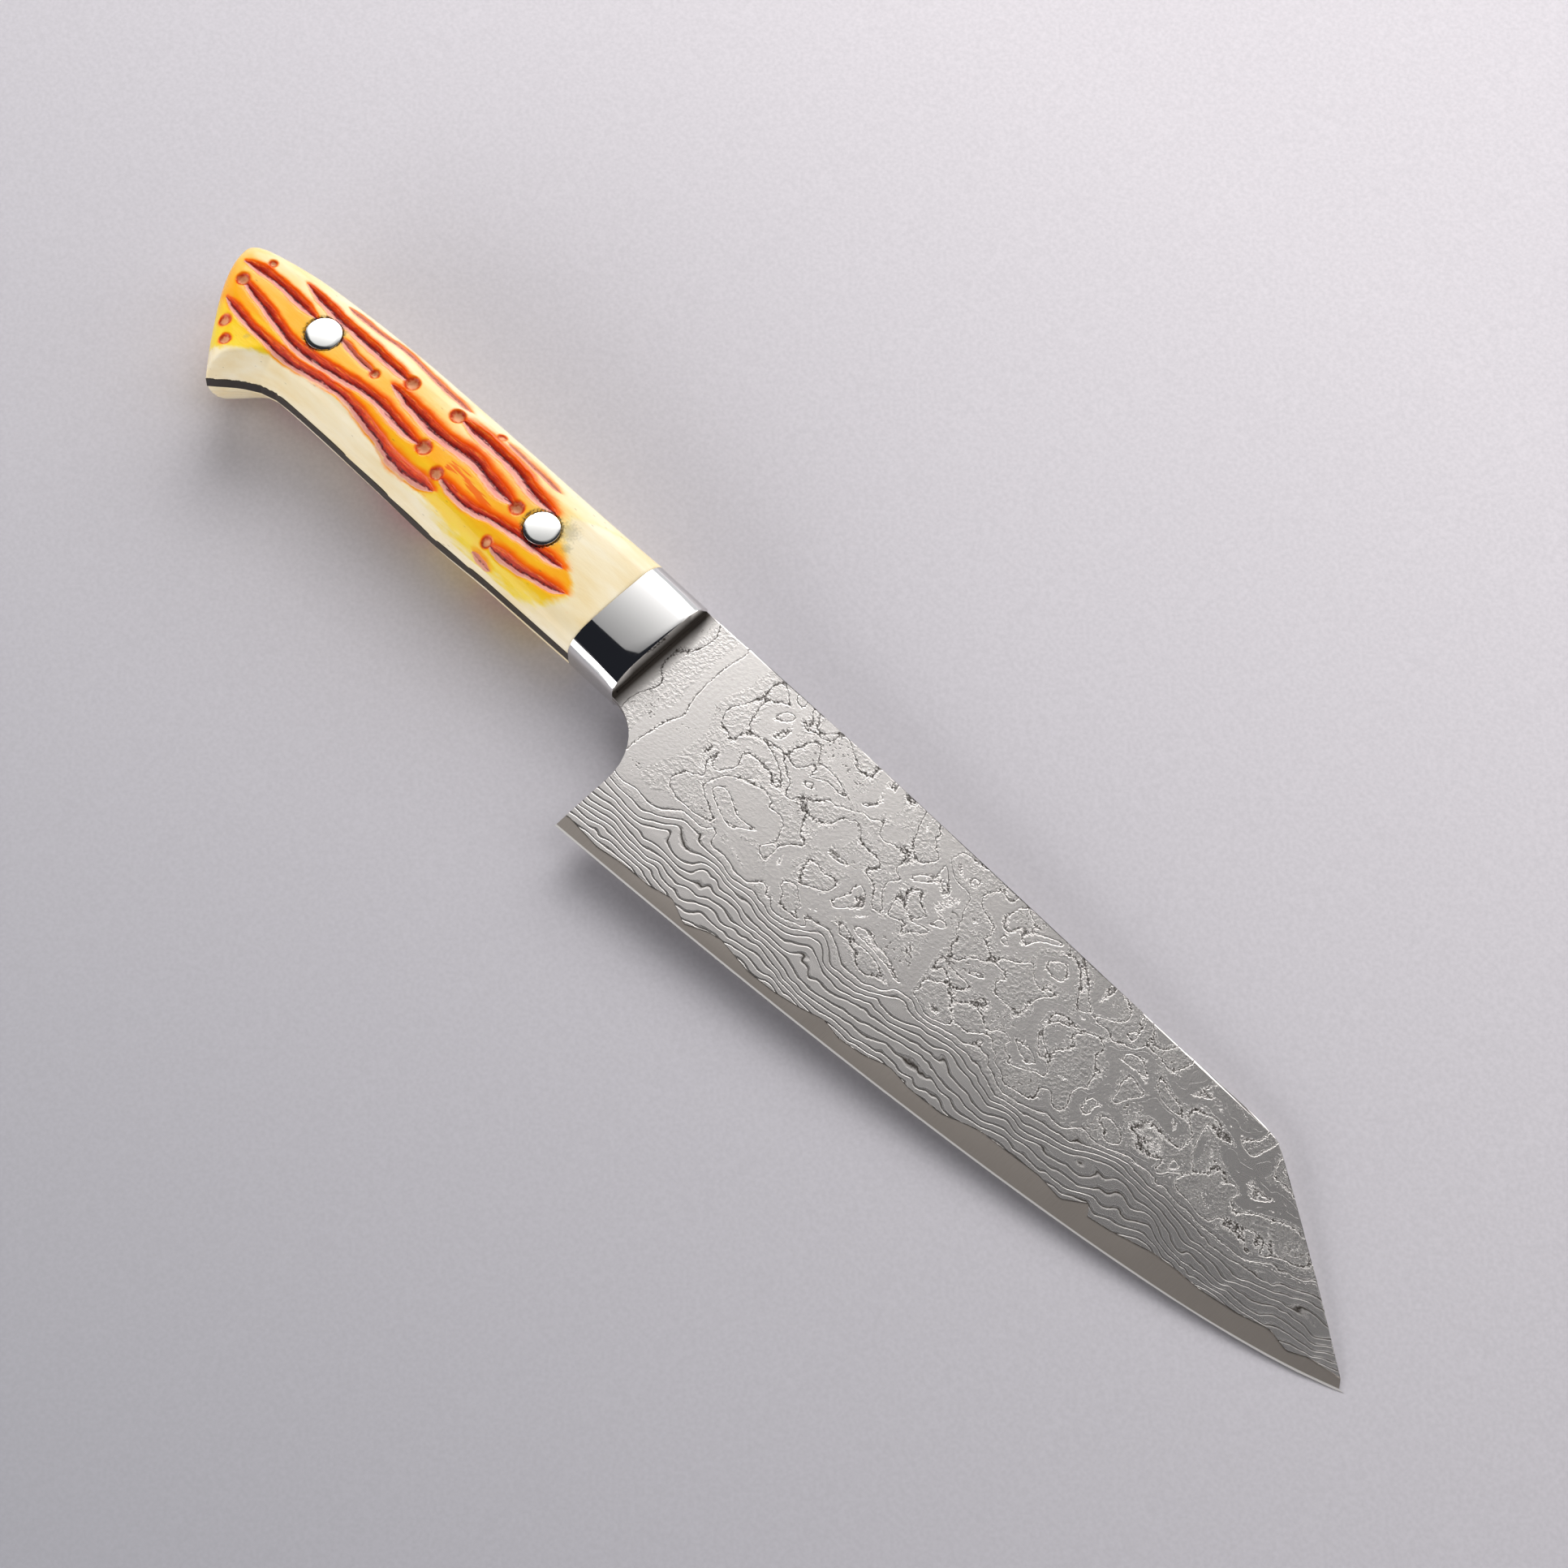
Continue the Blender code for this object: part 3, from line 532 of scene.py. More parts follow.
def make_cladding(look):
    """Cladding of the right side with its waved border, and its mirror image."""
    right = copy_of("damascus_cladding_right", "layered_cladding_right")
    open_all(right)
    bpy.ops.mesh.dissolve_limited(angle_limit=0.0008)
    leave_edit()

    # The plain border is split, so that it can follow the waves.
    line = edge_line()
    low_x, high_x = line[0, 0], line[-1, 0]
    band = BORDER_BAND * MM
    border = {v.index for v in right.data.vertices
              if v.co.x < high_x - SPLIT_SHORT * MM and v.co.y < np.interp(v.co.x, *line.T) + band}
    places = points_of(right)[:, 0]
    choose(right, "EDGE", lambda edge: border.issuperset(edge.vertices)
           and abs(places[edge.vertices[0]] - places[edge.vertices[1]]) > 0.1 * MM)
    bpy.ops.mesh.subdivide(number_cuts=BORDER_CUTS)
    leave_edit()

    # The outer face stays one plane while its border is waved.
    points = points_of(right)
    top = points[:, 2] > MIDDLE_Z + OUTER_OVER * MM
    plane, *_ = np.linalg.lstsq(np.c_[points[top][:, :2], np.ones(top.sum())], points[top][:, 2],
                                rcond=None)
    edge_y = np.interp(points[:, 0], *line.T)
    low = (points[:, 1] < edge_y + band) & (points[:, 0] < high_x - WAVES_SHORT * MM)
    low &= points[:, 0] > low_x + WAVES_START * MM
    points[low, 1] = border_height(points[low, 0])
    points[top, 2] = np.c_[points[top][:, :2], np.ones(top.sum())] @ plane
    points[~top & low, 2] = MIDDLE_Z + BORDER_SINK * MM
    put_points(right, points)

    # The long edges along the spine and the slanted tip are rounded.
    outer = set(np.flatnonzero(top & ~low))
    choose(right, "EDGE", lambda edge: outer.issuperset(edge.vertices)
           and abs(points[edge.vertices[0], 0] - points[edge.vertices[1], 0]) > MM
           and (points[edge.vertices[0], 1] > RIVETS_Y or points[edge.vertices[0], 0] > high_x / 2))
    bpy.ops.mesh.bevel(offset=SPINE_EASE, segments=2)
    leave_edit()
    smooth(right, 20)
    left = mirrored(right, "layered_cladding_left")
    smooth(left, 20)
    finish_piece(right, look, "patterned_steel", "damascus_cladding_right")
    finish_piece(left, look, "patterned_steel", "damascus_cladding_left")


def make_core(look):
    """Tang and core, with the ground sides run on under the cladding and a honed bevel."""
    core = copy_of("blade_core_and_tang", "core_and_tang")
    line = edge_line()
    mesh = core.data
    thin = {v.index for v in mesh.vertices
            if abs(v.co.z - MIDDLE_Z) < THIN * MM and v.co.x > line[0, 0] - 0.1 * MM}
    shoulder = {i for edge in mesh.edges if len(thin.intersection(edge.vertices)) == 1
                for i in edge.vertices} - thin
    count = len(mesh.vertices)
    choose(core, "EDGE", lambda edge: len(thin.intersection(edge.vertices)) == 1)
    bpy.ops.mesh.subdivide(number_cuts=1)
    leave_edit()
    points = points_of(core)
    edge_y = np.interp(points[:, 0], *line.T)
    for i in shoulder:
        raised = np.clip((line[-1, 0] - points[i, 0]) / MM / POINT_TAPER - 1, 0, 1)
        points[i, 1] += CORE_UNDER * MM * raised
    for i in range(count, len(points)):
        side = np.sign(points[i, 2] - MIDDLE_Z)
        points[i, 1] = min(points[i, 1], edge_y[i] + HONED * MM)
        points[i, 2] = MIDDLE_Z + side * HONED_HALF * MM
    put_points(core, points)
    smooth(core, 2)
    finish_piece(core, look, "core_steel", "blade_core_and_tang")


# Bolster and rivets
def make_bolster(look):
    """Both halves of the bolster as one polished piece."""
    right = copy_of("bolster_right", "bolster")
    left = copy_of("bolster_left", "bolster_half")
    pick(right)
    left.select_set(True)
    bpy.ops.object.join()
    seam = {v.index for v in right.data.vertices if abs(v.co.z - MIDDLE_Z) < 0.001 * MM}
    choose(right, "FACE", lambda face: seam.issuperset(face.vertices))
    bpy.ops.mesh.delete(type="FACE")
    bpy.ops.mesh.select_all(action="SELECT")
    bpy.ops.mesh.remove_doubles(threshold=0.000002)
    for i in range(BOLSTER_CUTS):
        across = RIVETS_Y + (i / (BOLSTER_CUTS - 1) - 0.5) * 2 * CROWN_HALF * MM
        bpy.ops.mesh.select_all(action="SELECT")
        bpy.ops.mesh.bisect(plane_co=(SEAM_X, across, MIDDLE_Z), plane_no=(0, 1, 0))
    for back in FRONT_CUTS:
        bpy.ops.mesh.select_all(action="SELECT")
        bpy.ops.mesh.bisect(plane_co=(BOLSTER_FRONT_X - back * MM, RIVETS_Y, MIDDLE_Z),
                            plane_no=(1, 0, 0))
    leave_edit()
    # Both sides take the scales' crown, and the wheel eased the front, most at the belly.
    points = points_of(right)
    rise = points[:, 2] - MIDDLE_Z
    share = np.clip(np.abs(rise) / MM / BOLSTER_FLANK - 1, 0, 1)
    belly = np.clip(0.5 - (points[:, 1] - RIVETS_Y) / MM / (2 * CROWN_HALF), 0, 1)
    width = (FRONT_EASE[0] + FRONT_EASE[1] * belly ** 2) * MM
    eased = np.clip(1 - (BOLSTER_FRONT_X - points[:, 0]) / width, 0, 1)
    fall = crowned(points) + EASE_SLOPE / 3 * width * eased ** 3
    points[:, 2] -= np.sign(rise) * share * fall
    put_points(right, points)
    round_rims(right, BOLSTER_RIM)
    smooth(right, 20)
    finish_piece(right, look, "polished_steel", "bolster_right", "bolster_left")


def make_rivets(look):
    """Each half of a rivet with a smooth crown."""
    for name in ("rivet_front_female", "rivet_front_male", "rivet_rear_female",
                 "rivet_rear_male"):
        rivet = copy_of(name, name + "_polished")
        points = points_of(rivet)
        rise = np.abs(points[:, 2] - MIDDLE_Z)
        axis = RIVET_FRONT if "front" in name else RIVET_REAR
        out = np.hypot(points[:, 0] - axis.x, points[:, 1] - axis.y)
        base = rise[out > RIM_AT * out.max()].max()
        proud = np.clip(rise - base, 0, None)
        points[:, 2] -= np.sign(points[:, 2] - MIDDLE_Z) * proud * (1 - RIVET_CROWN)
        put_points(rivet, points)
        round_rims(rivet, RIVET_RIM)
        smooth(rivet, 40)
        finish_piece(rivet, look, "rivet_steel", name)


# Materials
def dyed_bone():
    """Camel bone, jigged with a burr, dyed with alcohol stain and buffed: ivory, glossy."""
    made, tree, shader = start_material("dyed_jigged_bone")
    place = add(tree, "TexCoord", output=3)
    mm = add(tree, "Mapping", {0: place, 3: (1000, 1000, 1000)})
    cut, wall, gold, blush, faint, pit, well_dirt_and_shade, brushed, scuff = [
        add(tree, "Attribute", output=2, attribute_name=name) for name in BONE_MAPS]
    # Ivory ground, in long soft clouds
    long_mm = add(tree, "Mapping", {0: place, 3: (250, 900, 900)})
    cloud = add(tree, "TexNoise", {"Vector": long_mm, "Scale": 0.3, "Detail": 3.0})
    ivory = add(tree, "ValToRGB", {0: cloud},
                stops=((0.3, "#F6DFAE"), (0.7, "#FEF2D6"), (0.5, "#FBEAC4")))
    # Yellow dye, soaked in unevenly along the grain
    streak = add(tree, "TexNoise", {"Vector": long_mm, "Scale": 1.1, "Detail": 4.0})
    soaked = add(tree, "Math", {0: streak, 1: 0.7, 2: gold}, operation="MULTIPLY_ADD")
    spread = add(tree, "MapRange", {0: soaked, 1: 0.62, 2: 1.15}, **SOFT)
    height = add(tree, "SeparateXYZ", {0: mm}, output=1)
    spine = add(tree, "MapRange",
                {0: height, 1: RIVETS_Y / MM - 12, 2: RIVETS_Y / MM + 9.5, 3: -0.25, 4: 0.75})
    tint = add(tree, "Math", {0: cloud, 1: 0.5, 2: spine}, operation="MULTIPLY_ADD")
    yellow = add(tree, "ValToRGB", {0: tint},
                 stops=((0.0, "#F9D830"), (1.0, "#FCEFCB"), (0.18, "#FCC82A"), (0.34, "#FFAE1E"),
                        (0.46, "#FDB830"), (0.62, "#FDC95C"), (0.8, "#FCDE98")))
    fringe = add(tree, "Mix", {0: spread, 6: "#F3DE66", 7: yellow}, **RGBA)
    face = add(tree, "Mix", {0: spread, 6: ivory, 7: fringe}, **RGBA)
    # Red dye at the lips of the cuts, and the dry stroke of it
    burn = add(tree, "Math", {0: streak, 1: 0.35, 2: blush}, operation="MULTIPLY_ADD")
    burn = add(tree, "MapRange", {0: burn, 1: 0.3, 2: 1.2})
    lips = add(tree, "ValToRGB", {0: burn},
               stops=((0.0, "#FFB02C"), (1.0, "#F04A0C"), (0.3, "#FF9418"), (0.65, "#FC6E12")))
    at_lip = add(tree, "MapRange", {0: burn, 1: 0.0, 2: 0.55}, **SOFT)
    grain = add(tree, "TexNoise", {"Vector": long_mm, "Scale": 3.0, "Detail": 4.0})
    # Bristle marks of the dry stroke are drawn coarser than real hairs, to show.
    hairs = add(tree, "Mapping", {0: place, 2: (0, 0, 0.15), 3: (110, 1100, 1100)})
    hairs = add(tree, "TexNoise", {"Vector": hairs, "Scale": 1.8, "Detail": 1.0})
    bristle = add(tree, "Math", {0: brushed, 1: 0.5, 2: hairs}, operation="MULTIPLY_ADD")
    bristle = add(tree, "MapRange", {0: bristle, 1: 0.78, 2: 0.88, 3: 0.0, 4: 0.85})
    dyed = add(tree, "Mix", {0: at_lip, 6: face, 7: lips}, **RGBA)
    dyed = add(tree, "Mix", {0: bristle, 6: dyed, 7: "#F4600E"}, **RGBA)
    # Walls of the grooves: deep red on the spine's side; on the belly's side the pink is a painted
    # reflection of the light on the red wall, and the line along the bottom is darkest. The burr's
    # streaks in them are drawn coarser than the real tenth of a millimetre, to show.
    fleck = add(tree, "TexNoise", {"Vector": mm, "Scale": 1.6, "Detail": 3.0})
    threads = add(tree, "Mapping", {0: place, 3: (300, 2000, 2000)})
    thread = add(tree, "TexNoise", {"Vector": threads, "Scale": 1.3, "Detail": 2.0})
    shifted = add(tree, "Math", {0: thread, 1: 1.1, 2: wall}, operation="MULTIPLY_ADD")
    wall_dye_and_reflection = add(tree, "MapRange", {0: shifted, 1: -0.45, 2: 1.55})
    wall_dye_and_reflection = add(tree, "ValToRGB", {0: wall_dye_and_reflection},
                stops=((0.0, "#FFD890"), (1.0, "#FF8A20"), (0.12, "#F8C4A0"), (0.24, "#EE9A8C"),
                       (0.34, "#F4B4A6"), (0.43, "#D4706C"), (0.48, "#6C1018"),
                       (0.53, "#A01606"), (0.68, "#C82806"), (0.86, "#F0500C")))
    rough_cut = add(tree, "MapRange", {0: fleck, 1: 0.5, 2: 0.62, 3: 0.0, 4: 0.25})
    in_red = add(tree, "MapRange", {0: wall, 1: 0.0, 2: 0.25})
    rough_cut = add(tree, "Math", {0: rough_cut, 1: in_red}, operation="MULTIPLY")
    wall_dye_and_reflection = add(tree, "Mix", {0: rough_cut, 6: wall_dye_and_reflection, 7: "#7E2410"}, **RGBA)
    thin = add(tree, "Math", {0: faint, 1: 0.65}, operation="MULTIPLY")
    wall_dye_and_reflection = add(tree, "Mix", {0: thin, 6: wall_dye_and_reflection, 7: "#E29A80"}, **RGBA)
    in_cut = add(tree, "Math", {0: thread, 1: 0.4, 2: cut}, operation="MULTIPLY_ADD")
    in_cut = add(tree, "MapRange", {0: in_cut, 1: 0.28, 2: 0.46}, **SOFT)
    carved = add(tree, "Mix", {0: in_cut, 6: dyed, 7: wall_dye_and_reflection}, **RGBA)
    in_pit = add(tree, "MapRange", {0: pit, 1: 0.0, 2: 0.12})
    scooped = add(tree, "Math", {0: fleck, 1: 0.9, 2: pit}, operation="MULTIPLY_ADD")
    rust = add(tree, "ValToRGB", {0: scooped},
               stops=((0.35, "#E0400C"), (1.0, "#F0AC7C"), (0.58, "#C83C14"), (0.78, "#E07C48")))
    pitted = add(tree, "Mix", {0: in_pit, 6: carved, 7: rust}, **RGBA)
    # Darker patches along the bottoms of the cuts, dirt and painted shade in the rivets' wells, and
    # the scuffs
    speck = add(tree, "TexNoise", {"Vector": mm, "Scale": 2.2, "Detail": 2.0})
    patchy = add(tree, "MapRange", {0: speck, 1: 0.42, 2: 0.58})
    bottom = add(tree, "MapRange", {0: cut, 1: 0.72, 2: 0.95, 4: 0.8}, **SOFT)
    bottom = add(tree, "Math", {0: bottom, 1: well_dirt_and_shade}, operation="MAXIMUM")
    dark_patches = add(tree, "Math", {0: bottom, 1: patchy}, operation="MULTIPLY")
    darkened = add(tree, "Mix", {0: dark_patches, 6: pitted, 7: "#2C1C22"}, **RGBA)
    worn = add(tree, "Math", {0: speck, 1: 1.0, 2: scuff}, operation="MULTIPLY_ADD")
    worn = add(tree, "MapRange", {0: worn, 1: 0.8, 2: 1.25, 3: 0.0, 4: 0.45})
    darkened = add(tree, "Mix", {0: worn, 6: darkened, 7: "#A0906C"}, **RGBA)
    # Pores of the bone, drawn larger and fewer than real ones, to show
    pore = add(tree, "TexVoronoi", {"Vector": long_mm, "Scale": 0.9}, output=0)
    pores = add(tree, "MapRange", {0: pore, 1: 0.04, 2: 0.10, 3: 0.45, 4: 0.0})
    colours = add(tree, "Mix", {0: pores, 6: darkened, 7: "#7A5A32"}, **RGBA)
    tree.links.new(colours, shader.inputs["Base Color"])
    # Buffed faces shine, and the cuts stay matt.
    unbuffed = add(tree, "Math", {0: cut, 1: pit}, operation="MAXIMUM")
    rough = add(tree, "MapRange", {0: unbuffed, 1: 0.0, 2: 0.4, 3: 0.22, 4: 0.45})
    tree.links.new(rough, shader.inputs["Roughness"])
    chatter = add(tree, "Math", {0: grain, 1: in_cut}, operation="MULTIPLY")
    relief = add(tree, "Math", {0: chatter, 1: 5.0, 2: grain}, operation="MULTIPLY_ADD")
    bump = add(tree, "Bump", {"Strength": 0.5, "Distance": 0.00006, "Height": relief})
    tree.links.new(bump, shader.inputs["Normal"])
    shader.inputs["IOR"].default_value = 1.54
    shader.inputs["Specular IOR Level"].default_value = 0.2
    return made


def above_the_edge(tree, place):
    """Millimetres above the cutting edge, and the place in millimetres from the heel."""
    line = edge_line()
    heel, point = line[0], line[-1]
    local = add(tree, "Mapping",
                {0: place, 1: (-heel[0] / MM, -heel[1] / MM, -MIDDLE_Z / MM),
                 3: (1000, 1000, 1000)})
    along = add(tree, "SeparateXYZ", {0: local}, output=0)
    across = add(tree, "SeparateXYZ", {0: local}, output=1)
    share = add(tree, "Math", {0: along, 1: (point[0] - heel[0]) / MM},
                operation="DIVIDE", use_clamp=True)
    shares = np.linspace(0, 1, EDGE_STEPS + 1)
    rises = np.interp(heel[0] + shares * (point[0] - heel[0]), *line.T)
    rises = (rises - heel[1]) / (point[1] - heel[1])
    order = [0, EDGE_STEPS] + list(range(1, EDGE_STEPS))
    rise = add(tree, "FloatCurve", {"Value": share},
               curve=[(float(shares[i]), float(rises[i])) for i in order])
    edge = add(tree, "Math", {0: rise, 1: (point[1] - heel[1]) / MM}, operation="MULTIPLY")
    height = add(tree, "Math", {0: across, 1: edge}, operation="SUBTRACT")
    return height, local


def patterned_steel():
    """Layered stainless steel, forged, ground and deep etched: a satin, raised grain."""
    made, tree, shader = start_material("etched_layered_steel")
    place = add(tree, "TexCoord", output=3)
    height, local = above_the_edge(tree, place)
    flat = add(tree, "Mapping", {0: local, 3: (0.8, 1.0, 0.0)})
    # Layers run parallel to the edge in the lower half.
    rise = add(tree, "Math", {0: height, 1: 1 / FLAT_ABOVE}, operation="MULTIPLY")
    rise = add(tree, "Math", {0: rise}, operation="TANH")
    wide = add(tree, "TexNoise", {"Vector": flat, "Scale": 0.075, "Detail": 0.5, "Distortion": 0.4})
    small = add(tree, "TexNoise", {"Vector": flat, "Scale": 0.20, "Detail": 1.0, "Distortion": 0.5})
    tiny = add(tree, "TexNoise", {"Vector": flat, "Scale": 2.4, "Detail": 3.0, "Roughness": 0.65})
    layers = add(tree, "Math", {0: rise, 1: FLAT_ABOVE / LAYER_STEP}, operation="MULTIPLY")
    layers = add(tree, "Math", {0: wide, 1: 6.0, 2: layers}, operation="MULTIPLY_ADD")
    layers = add(tree, "Math", {0: small, 1: 2.4, 2: layers}, operation="MULTIPLY_ADD")
    # Above that they lie almost flat, and the grinding opens them in islands.
    island = add(tree, "TexNoise",
                 {"Vector": flat, "Scale": 0.15, "Detail": 1.5, "Roughness": 0.45,
                  "Distortion": 0.7})
    island = add(tree, "Math", {0: island, 1: 4.7, 2: 14.0}, operation="MULTIPLY_ADD")
    # Beside the bolster the forging bent them up, and they cross the blade.
    along = add(tree, "SeparateXYZ", {0: local}, output=0)
    bent = add(tree, "Math", {0: along, 1: 0.13, 2: 14.8}, operation="MULTIPLY_ADD")
    bent = add(tree, "Math", {0: wide, 1: 2.0, 2: bent}, operation="MULTIPLY_ADD")
    near = add(tree, "MapRange", {0: along, 1: BENT_FROM, 2: BENT_TO, 3: 1.0, 4: 0.0}, **SOFT)
    island = add(tree, "Mix", {0: near, 2: island, 3: bent}, output=0)
    upper = add(tree, "Math", {0: wide, 1: 10.0, 2: height}, operation="MULTIPLY_ADD")
    upper = add(tree, "MapRange", {0: upper, 1: ISLANDS_FROM, 2: ISLANDS_TO}, **SOFT)
    layers = add(tree, "Mix", {0: upper, 2: layers, 3: island}, output=0)
    smooth_phase = add(tree, "Math", {0: layers}, operation="FRACT")
    ragged = add(tree, "MapRange", {0: upper, 3: 0.15, 4: 0.5})
    thinner = add(tree, "Math", {0: near, 1: upper}, operation="MULTIPLY")
    thinner = add(tree, "MapRange", {0: thinner, 3: 1.0, 4: 0.3})
    ragged = add(tree, "Math", {0: ragged, 1: thinner}, operation="MULTIPLY")
    layers = add(tree, "Math", {0: tiny, 1: ragged, 2: layers}, operation="MULTIPLY_ADD")
    phase = add(tree, "Math", {0: layers}, operation="FRACT")
    off = add(tree, "Math", {0: phase, 1: 0.8}, operation="SUBTRACT")
    gap = add(tree, "Math", {0: off}, operation="ABSOLUTE")
    line_width = add(tree, "MapRange", {0: upper, 3: 0.15, 4: 0.08})
    line_width = add(tree, "Math", {0: line_width, 1: thinner}, operation="MULTIPLY")
    line = add(tree, "MapRange", {0: gap, 1: 0.0, 2: line_width, 3: 1.0, 4: 0.0}, **SOFT)
    ditch_width = add(tree, "MapRange", {0: upper, 3: 0.22, 4: 0.14})
    ditch_width = add(tree, "Math", {0: ditch_width, 1: thinner}, operation="MULTIPLY")
    ditch = add(tree, "MapRange", {0: gap, 1: 0.0, 2: ditch_width, 3: 1.0, 4: 0.0}, **SOFT)
    # Sandy etching on some of the islands, and clusters of deep pits, both drawn a few times
    # as coarse as the real grain of a tenth of a millimetre, to show
    pair = add(tree, "Math", {0: layers, 1: 0.5, 2: 0.25}, operation="MULTIPLY_ADD")
    pair = add(tree, "Math", {0: pair}, operation="FRACT")
    sandy = add(tree, "Math", {0: pair, 1: 0.5}, operation="GREATER_THAN")
    share = add(tree, "MapRange", {0: sandy, 3: 0.12, 4: 0.55})
    share = add(tree, "Math", {0: share, 1: upper}, operation="MULTIPLY")
    grit = add(tree, "TexNoise", {"Vector": flat, "Scale": 1.7, "Detail": 2.0, "Roughness": 0.6})
    grains = add(tree, "MapRange", {0: grit, 1: 0.40, 2: 0.62}, **SOFT)
    sand = add(tree, "Math", {0: grains, 1: share}, operation="MULTIPLY")
    cluster = add(tree, "TexNoise", {"Vector": flat, "Scale": 0.17, "Detail": 1.0,
                                               "W": 4.0}, noise_dimensions="4D")
    cluster = add(tree, "MapRange", {0: cluster, 1: 0.58, 2: 0.66})
    cluster = add(tree, "Math", {0: cluster, 1: upper}, operation="MULTIPLY")
    spot = add(tree, "MapRange", {0: grit, 1: 0.54, 2: 0.62, 4: 0.8})
    spots = add(tree, "Math", {0: spot, 1: cluster}, operation="MULTIPLY")
    dark = add(tree, "Math", {0: line, 1: spots}, operation="MAXIMUM")
    hollow = add(tree, "Math", {0: share, 1: sand}, operation="SUBTRACT")
    dark = add(tree, "Math", {0: hollow, 1: 0.35, 2: dark}, operation="MULTIPLY_ADD",
               use_clamp=True)
    # The corner by the bolster is darkened with painted shade and a painted reflection of the
    # bolster's dark front in the blade.
    front = (BOLSTER_FRONT_X - edge_line()[0, 0]) / MM
    bolster_shade = add(tree, "MapRange", {0: along, 1: front, 2: front + CORNER_SHADE, 3: 1.2, 4: 0.0})
    dark = add(tree, "Math", {0: dark, 1: bolster_shade}, operation="MAXIMUM", use_clamp=True)
    # The belt cleaned the etching off the spine and the slanted tip.
    facing = add(tree, "NewGeometry", output=3)
    facing = add(tree, "SeparateXYZ", {0: facing}, output=2)
    facing = add(tree, "Math", {0: facing}, operation="ABSOLUTE")
    facing = add(tree, "MapRange", {0: facing, 1: 0.4, 2: 0.8, 3: 0.15, 4: 1.0})
    dark = add(tree, "Math", {0: dark, 1: facing}, operation="MULTIPLY")
    slope = add(tree, "MapRange", {0: upper, 3: 0.5, 4: 0.3})
    terrace = add(tree, "Math", {0: smooth_phase, 1: slope}, operation="MULTIPLY")
    deep = add(tree, "Math", {0: ditch, 1: spots}, operation="MAXIMUM")
    etched = add(tree, "Math", {0: deep, 1: -1.0, 2: terrace}, operation="MULTIPLY_ADD")
    relief = add(tree, "Math", {0: sand, 1: 0.8, 2: etched}, operation="MULTIPLY_ADD")
    bump = add(tree, "Bump", {"Strength": 1.0, "Distance": 0.000022, "Height": relief})
    tree.links.new(bump, shader.inputs["Normal"])
    tone = add(tree, "Mix", {0: dark, 6: "#DCD7D3", 7: "#38332F"}, **RGBA)
    tree.links.new(tone, shader.inputs["Base Color"])
    rough = add(tree, "MapRange", {0: dark, 3: 0.24, 4: 0.45})
    tree.links.new(rough, shader.inputs["Roughness"])
    shader.inputs["Metallic"].default_value = 1.0
    return made


def core_steel():
    """Hard tool steel, ground and finely brushed across the edge: dark grey satin."""
    made, tree, shader = start_material("brushed_tool_steel")
    place = add(tree, "TexCoord", output=3)
    height, local = above_the_edge(tree, place)
    # Real strokes are some 0.03 mm wide, and are drawn three times as coarse, to show.
    strokes = add(tree, "Mapping", {0: local, 3: (9.0, 0.35, 0.35)})
    brush = add(tree, "TexNoise", {"Vector": strokes, "Scale": 1.0, "Detail": 3.0})
    honed = add(tree, "MapRange", {0: height, 1: HONED - 0.05, 2: HONED + 0.05, 3: 1.0, 4: 0.0})
    along = add(tree, "SeparateXYZ", {0: local}, output=0)
    blade = add(tree, "Math", {0: along, 1: TANG_FROM}, operation="GREATER_THAN")
    honed_highlight = add(tree, "Math", {0: honed, 1: blade}, operation="MULTIPLY")
    satin = add(tree, "Mix", {0: brush, 6: "#928A83", 7: "#A09891"}, **RGBA)
    tang = add(tree, "Mix", {0: blade, 6: "#56524F", 7: satin}, **RGBA)
    # The honed bevel is painted lighter, a painted highlight along the edge; its lower roughness is
    # its finer finish.
    tone = add(tree, "Mix", {0: honed_highlight, 6: tang, 7: "#D4D0CC"}, **RGBA)
    tree.links.new(tone, shader.inputs["Base Color"])
    rough = add(tree, "MapRange", {0: honed_highlight, 3: 0.34, 4: 0.42})
    tree.links.new(rough, shader.inputs["Roughness"])
    bump = add(tree, "Bump", {"Strength": 0.3, "Distance": 0.00001, "Height": brush})
    tree.links.new(bump, shader.inputs["Normal"])
    shader.inputs["Metallic"].default_value = 1.0
    return made


def mirror_steel(name, code, roughness):
    """Stainless steel buffed to a mirror, with the faintest unevenness left by the wheel."""
    made, tree, shader = start_material(name)
    place = add(tree, "TexCoord", output=3)
    mm = add(tree, "Mapping", {0: place, 3: (1000, 1000, 1000)})
    wheel = add(tree, "TexNoise", {"Vector": mm, "Scale": 0.35, "Detail": 2.0})
    shade = add(tree, "MapRange", {0: wheel, 3: roughness * 0.7, 4: roughness * 1.3})
    tree.links.new(shade, shader.inputs["Roughness"])
    shader.inputs["Base Color"].default_value = colour(code)
    shader.inputs["Metallic"].default_value = 1.0
    return made


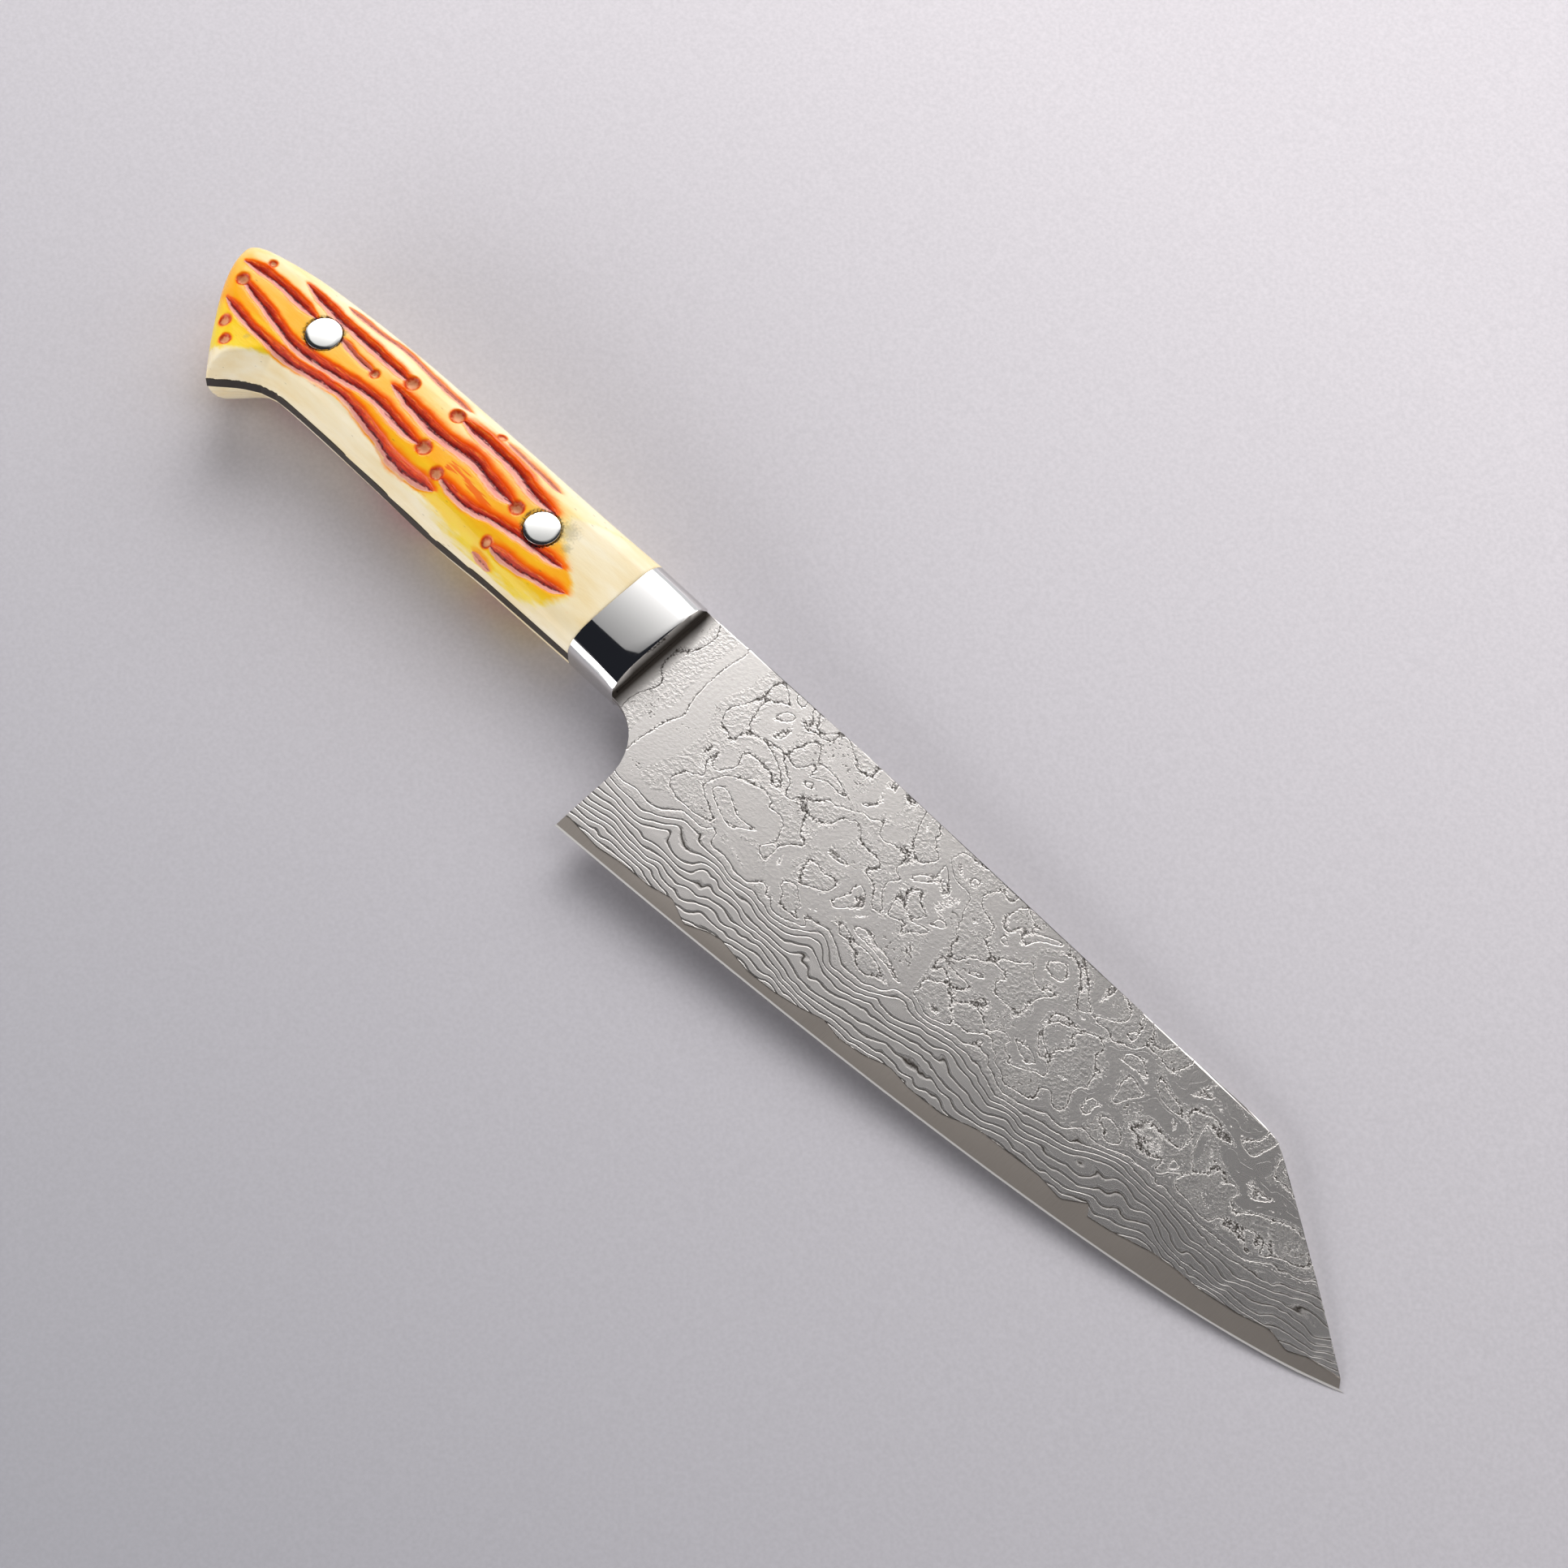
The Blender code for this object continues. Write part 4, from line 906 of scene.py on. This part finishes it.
def pale_paper():
    """Heavy matt backdrop paper, its faint tooth drawn a little coarser than real, to show, and
    painted greyer towards the front as shade of the light's falloff.
    """
    made, tree, shader = start_material("pale_paper")
    place = add(tree, "TexCoord", output=3)
    tooth = add(tree, "TexNoise", {"Vector": place, "Scale": 1300.0, "Detail": 3.0})
    # Painted shade: the paper turns greyer towards the front, as the light falls off.
    near = add(tree, "SeparateXYZ", {0: place}, output=1)
    near = add(tree, "MapRange", {0: near, 1: SHADE_FROM, 2: SHADE_TO})
    tone = add(tree, "Mix", {0: near, 6: "#E2DCE0", 7: "#AAA9AF"}, **RGBA)
    shade = add(tree, "MapRange", {0: tooth, 1: 0.3, 2: 0.7, 3: 0.0, 4: 0.16})
    tone = add(tree, "Mix", {0: shade, 6: tone, 7: "#8E8A8E"}, **RGBA)
    tree.links.new(tone, shader.inputs["Base Color"])
    shader.inputs["Roughness"].default_value = 0.9
    shader.inputs["Specular IOR Level"].default_value = 0.2
    return made


# Stage
def make_floor():
    """Floor that the knife rests on with its lower scale and the point of the blade."""
    touch = knife(LAND_FRONT, 0)
    lean = math.atan2(MIDDLE_Z, POINT_X - touch.x)
    bpy.ops.object.select_all(action="DESELECT")
    bpy.ops.mesh.primitive_plane_add(size=FLOOR_SIZE, location=(touch.x, 0, -FLOOR_GAP),
                                     rotation=(0, -lean, 0))
    floor = bpy.context.active_object
    floor.name = "floor"
    settle(floor)
    floor.data.materials.append(pale_paper())


def add_light(name, place, size, power, towards):
    """Rectangular light that faces a point."""
    lamp = bpy.data.lights.new(name, "AREA")
    lamp.shape = "RECTANGLE"
    lamp.size, lamp.size_y = size
    lamp.energy = power
    light = bpy.data.objects.new(name, lamp)
    light.location = place
    light.rotation_euler = (Vector(place) - Vector(towards)).to_track_quat("Z", "Y").to_euler()
    bpy.context.scene.collection.objects.link(light)
    return lamp


def hang_sail():
    """White sail overhead, brightest where the lamp behind it shines through."""
    middle = (sum(SAIL_X) / 2, sum(SAIL_Y) / 2, SAIL_HEIGHT)
    size = (SAIL_X[1] - SAIL_X[0], SAIL_Y[1] - SAIL_Y[0])
    lamp = add_light("sail", middle, size, SAIL_POWER, (middle[0], middle[1], 0))
    lamp.use_nodes = True
    tree = lamp.node_tree
    place = add(tree, "NewGeometry", output=0)
    off = add(tree, "VectorMath", {0: place, 1: SAIL_HOT}, output=1, operation="DISTANCE")
    fall = add(tree, "Math", {0: off, 1: -1 / SAIL_FADE, 2: SAIL_PLATEAU / SAIL_FADE},
               operation="MULTIPLY_ADD")
    glow = add(tree, "Math", {0: fall}, operation="EXPONENT")
    glow = add(tree, "Math", {0: glow, 1: 1.0}, operation="MINIMUM")
    tree.links.new(glow, tree.nodes["Emission"].inputs["Strength"])


def make_room():
    """Plain studio: bright low down, dark overhead, so that polished steel has contrast."""
    world = bpy.data.worlds.new("studio")
    bpy.context.scene.world = world
    world.use_nodes = True
    tree = world.node_tree
    direction = add(tree, "TexCoord", output=0)
    rise = add(tree, "SeparateXYZ", {0: direction}, output=2)
    high = add(tree, "MapRange", {0: rise, 1: ROOM_LOW, 2: ROOM_HIGH}, **SOFT)
    tone = add(tree, "Mix", {0: high, 6: ROOM_BRIGHT, 7: ROOM_DARK}, **RGBA)
    tree.links.new(tone, tree.nodes["Background"].inputs["Color"])
    hang_sail()
    for name, place, size, power in BOXES:
        add_light(name, place, size, power, (0, 0, 0))


def make_camera():
    """Camera at the photograph's angle, distance and lens."""
    turn, rise = math.radians(VIEW_TURN), math.radians(VIEW_RISE)
    back = Vector((math.sin(turn) * math.cos(rise), -math.cos(turn) * math.cos(rise),
                   math.sin(rise)))
    right = Vector((math.cos(turn), math.sin(turn), 0))
    up = back.cross(right)
    aim = Vector((SEAM_X + AIM_FROM_SEAM[0], RIVETS_Y + AIM_FROM_SEAM[1], MIDDLE_Z))
    eye = bpy.data.cameras.new("camera")
    eye.lens = LENS
    eye.sensor_width = SENSOR
    camera = bpy.data.objects.new("camera", eye)
    camera.matrix_world = Matrix.Translation(aim + back * VIEW_DISTANCE) @ Matrix(
        (right, up, back)).transposed().to_4x4()
    bpy.context.scene.collection.objects.link(camera)
    bpy.context.scene.camera = camera


def main():
    make_camera()
    make_room()
    make_floor()
    make_core(core_steel())
    make_cladding(patterned_steel())
    make_bolster(mirror_steel("mirror_polished_steel", "#DEDCDA", 0.05))
    make_rivets(mirror_steel("polished_rivet_steel", "#D8D7D4", 0.13))
    make_scales(dyed_bone())
    bpy.context.scene.view_settings.view_transform = "Standard"


main()
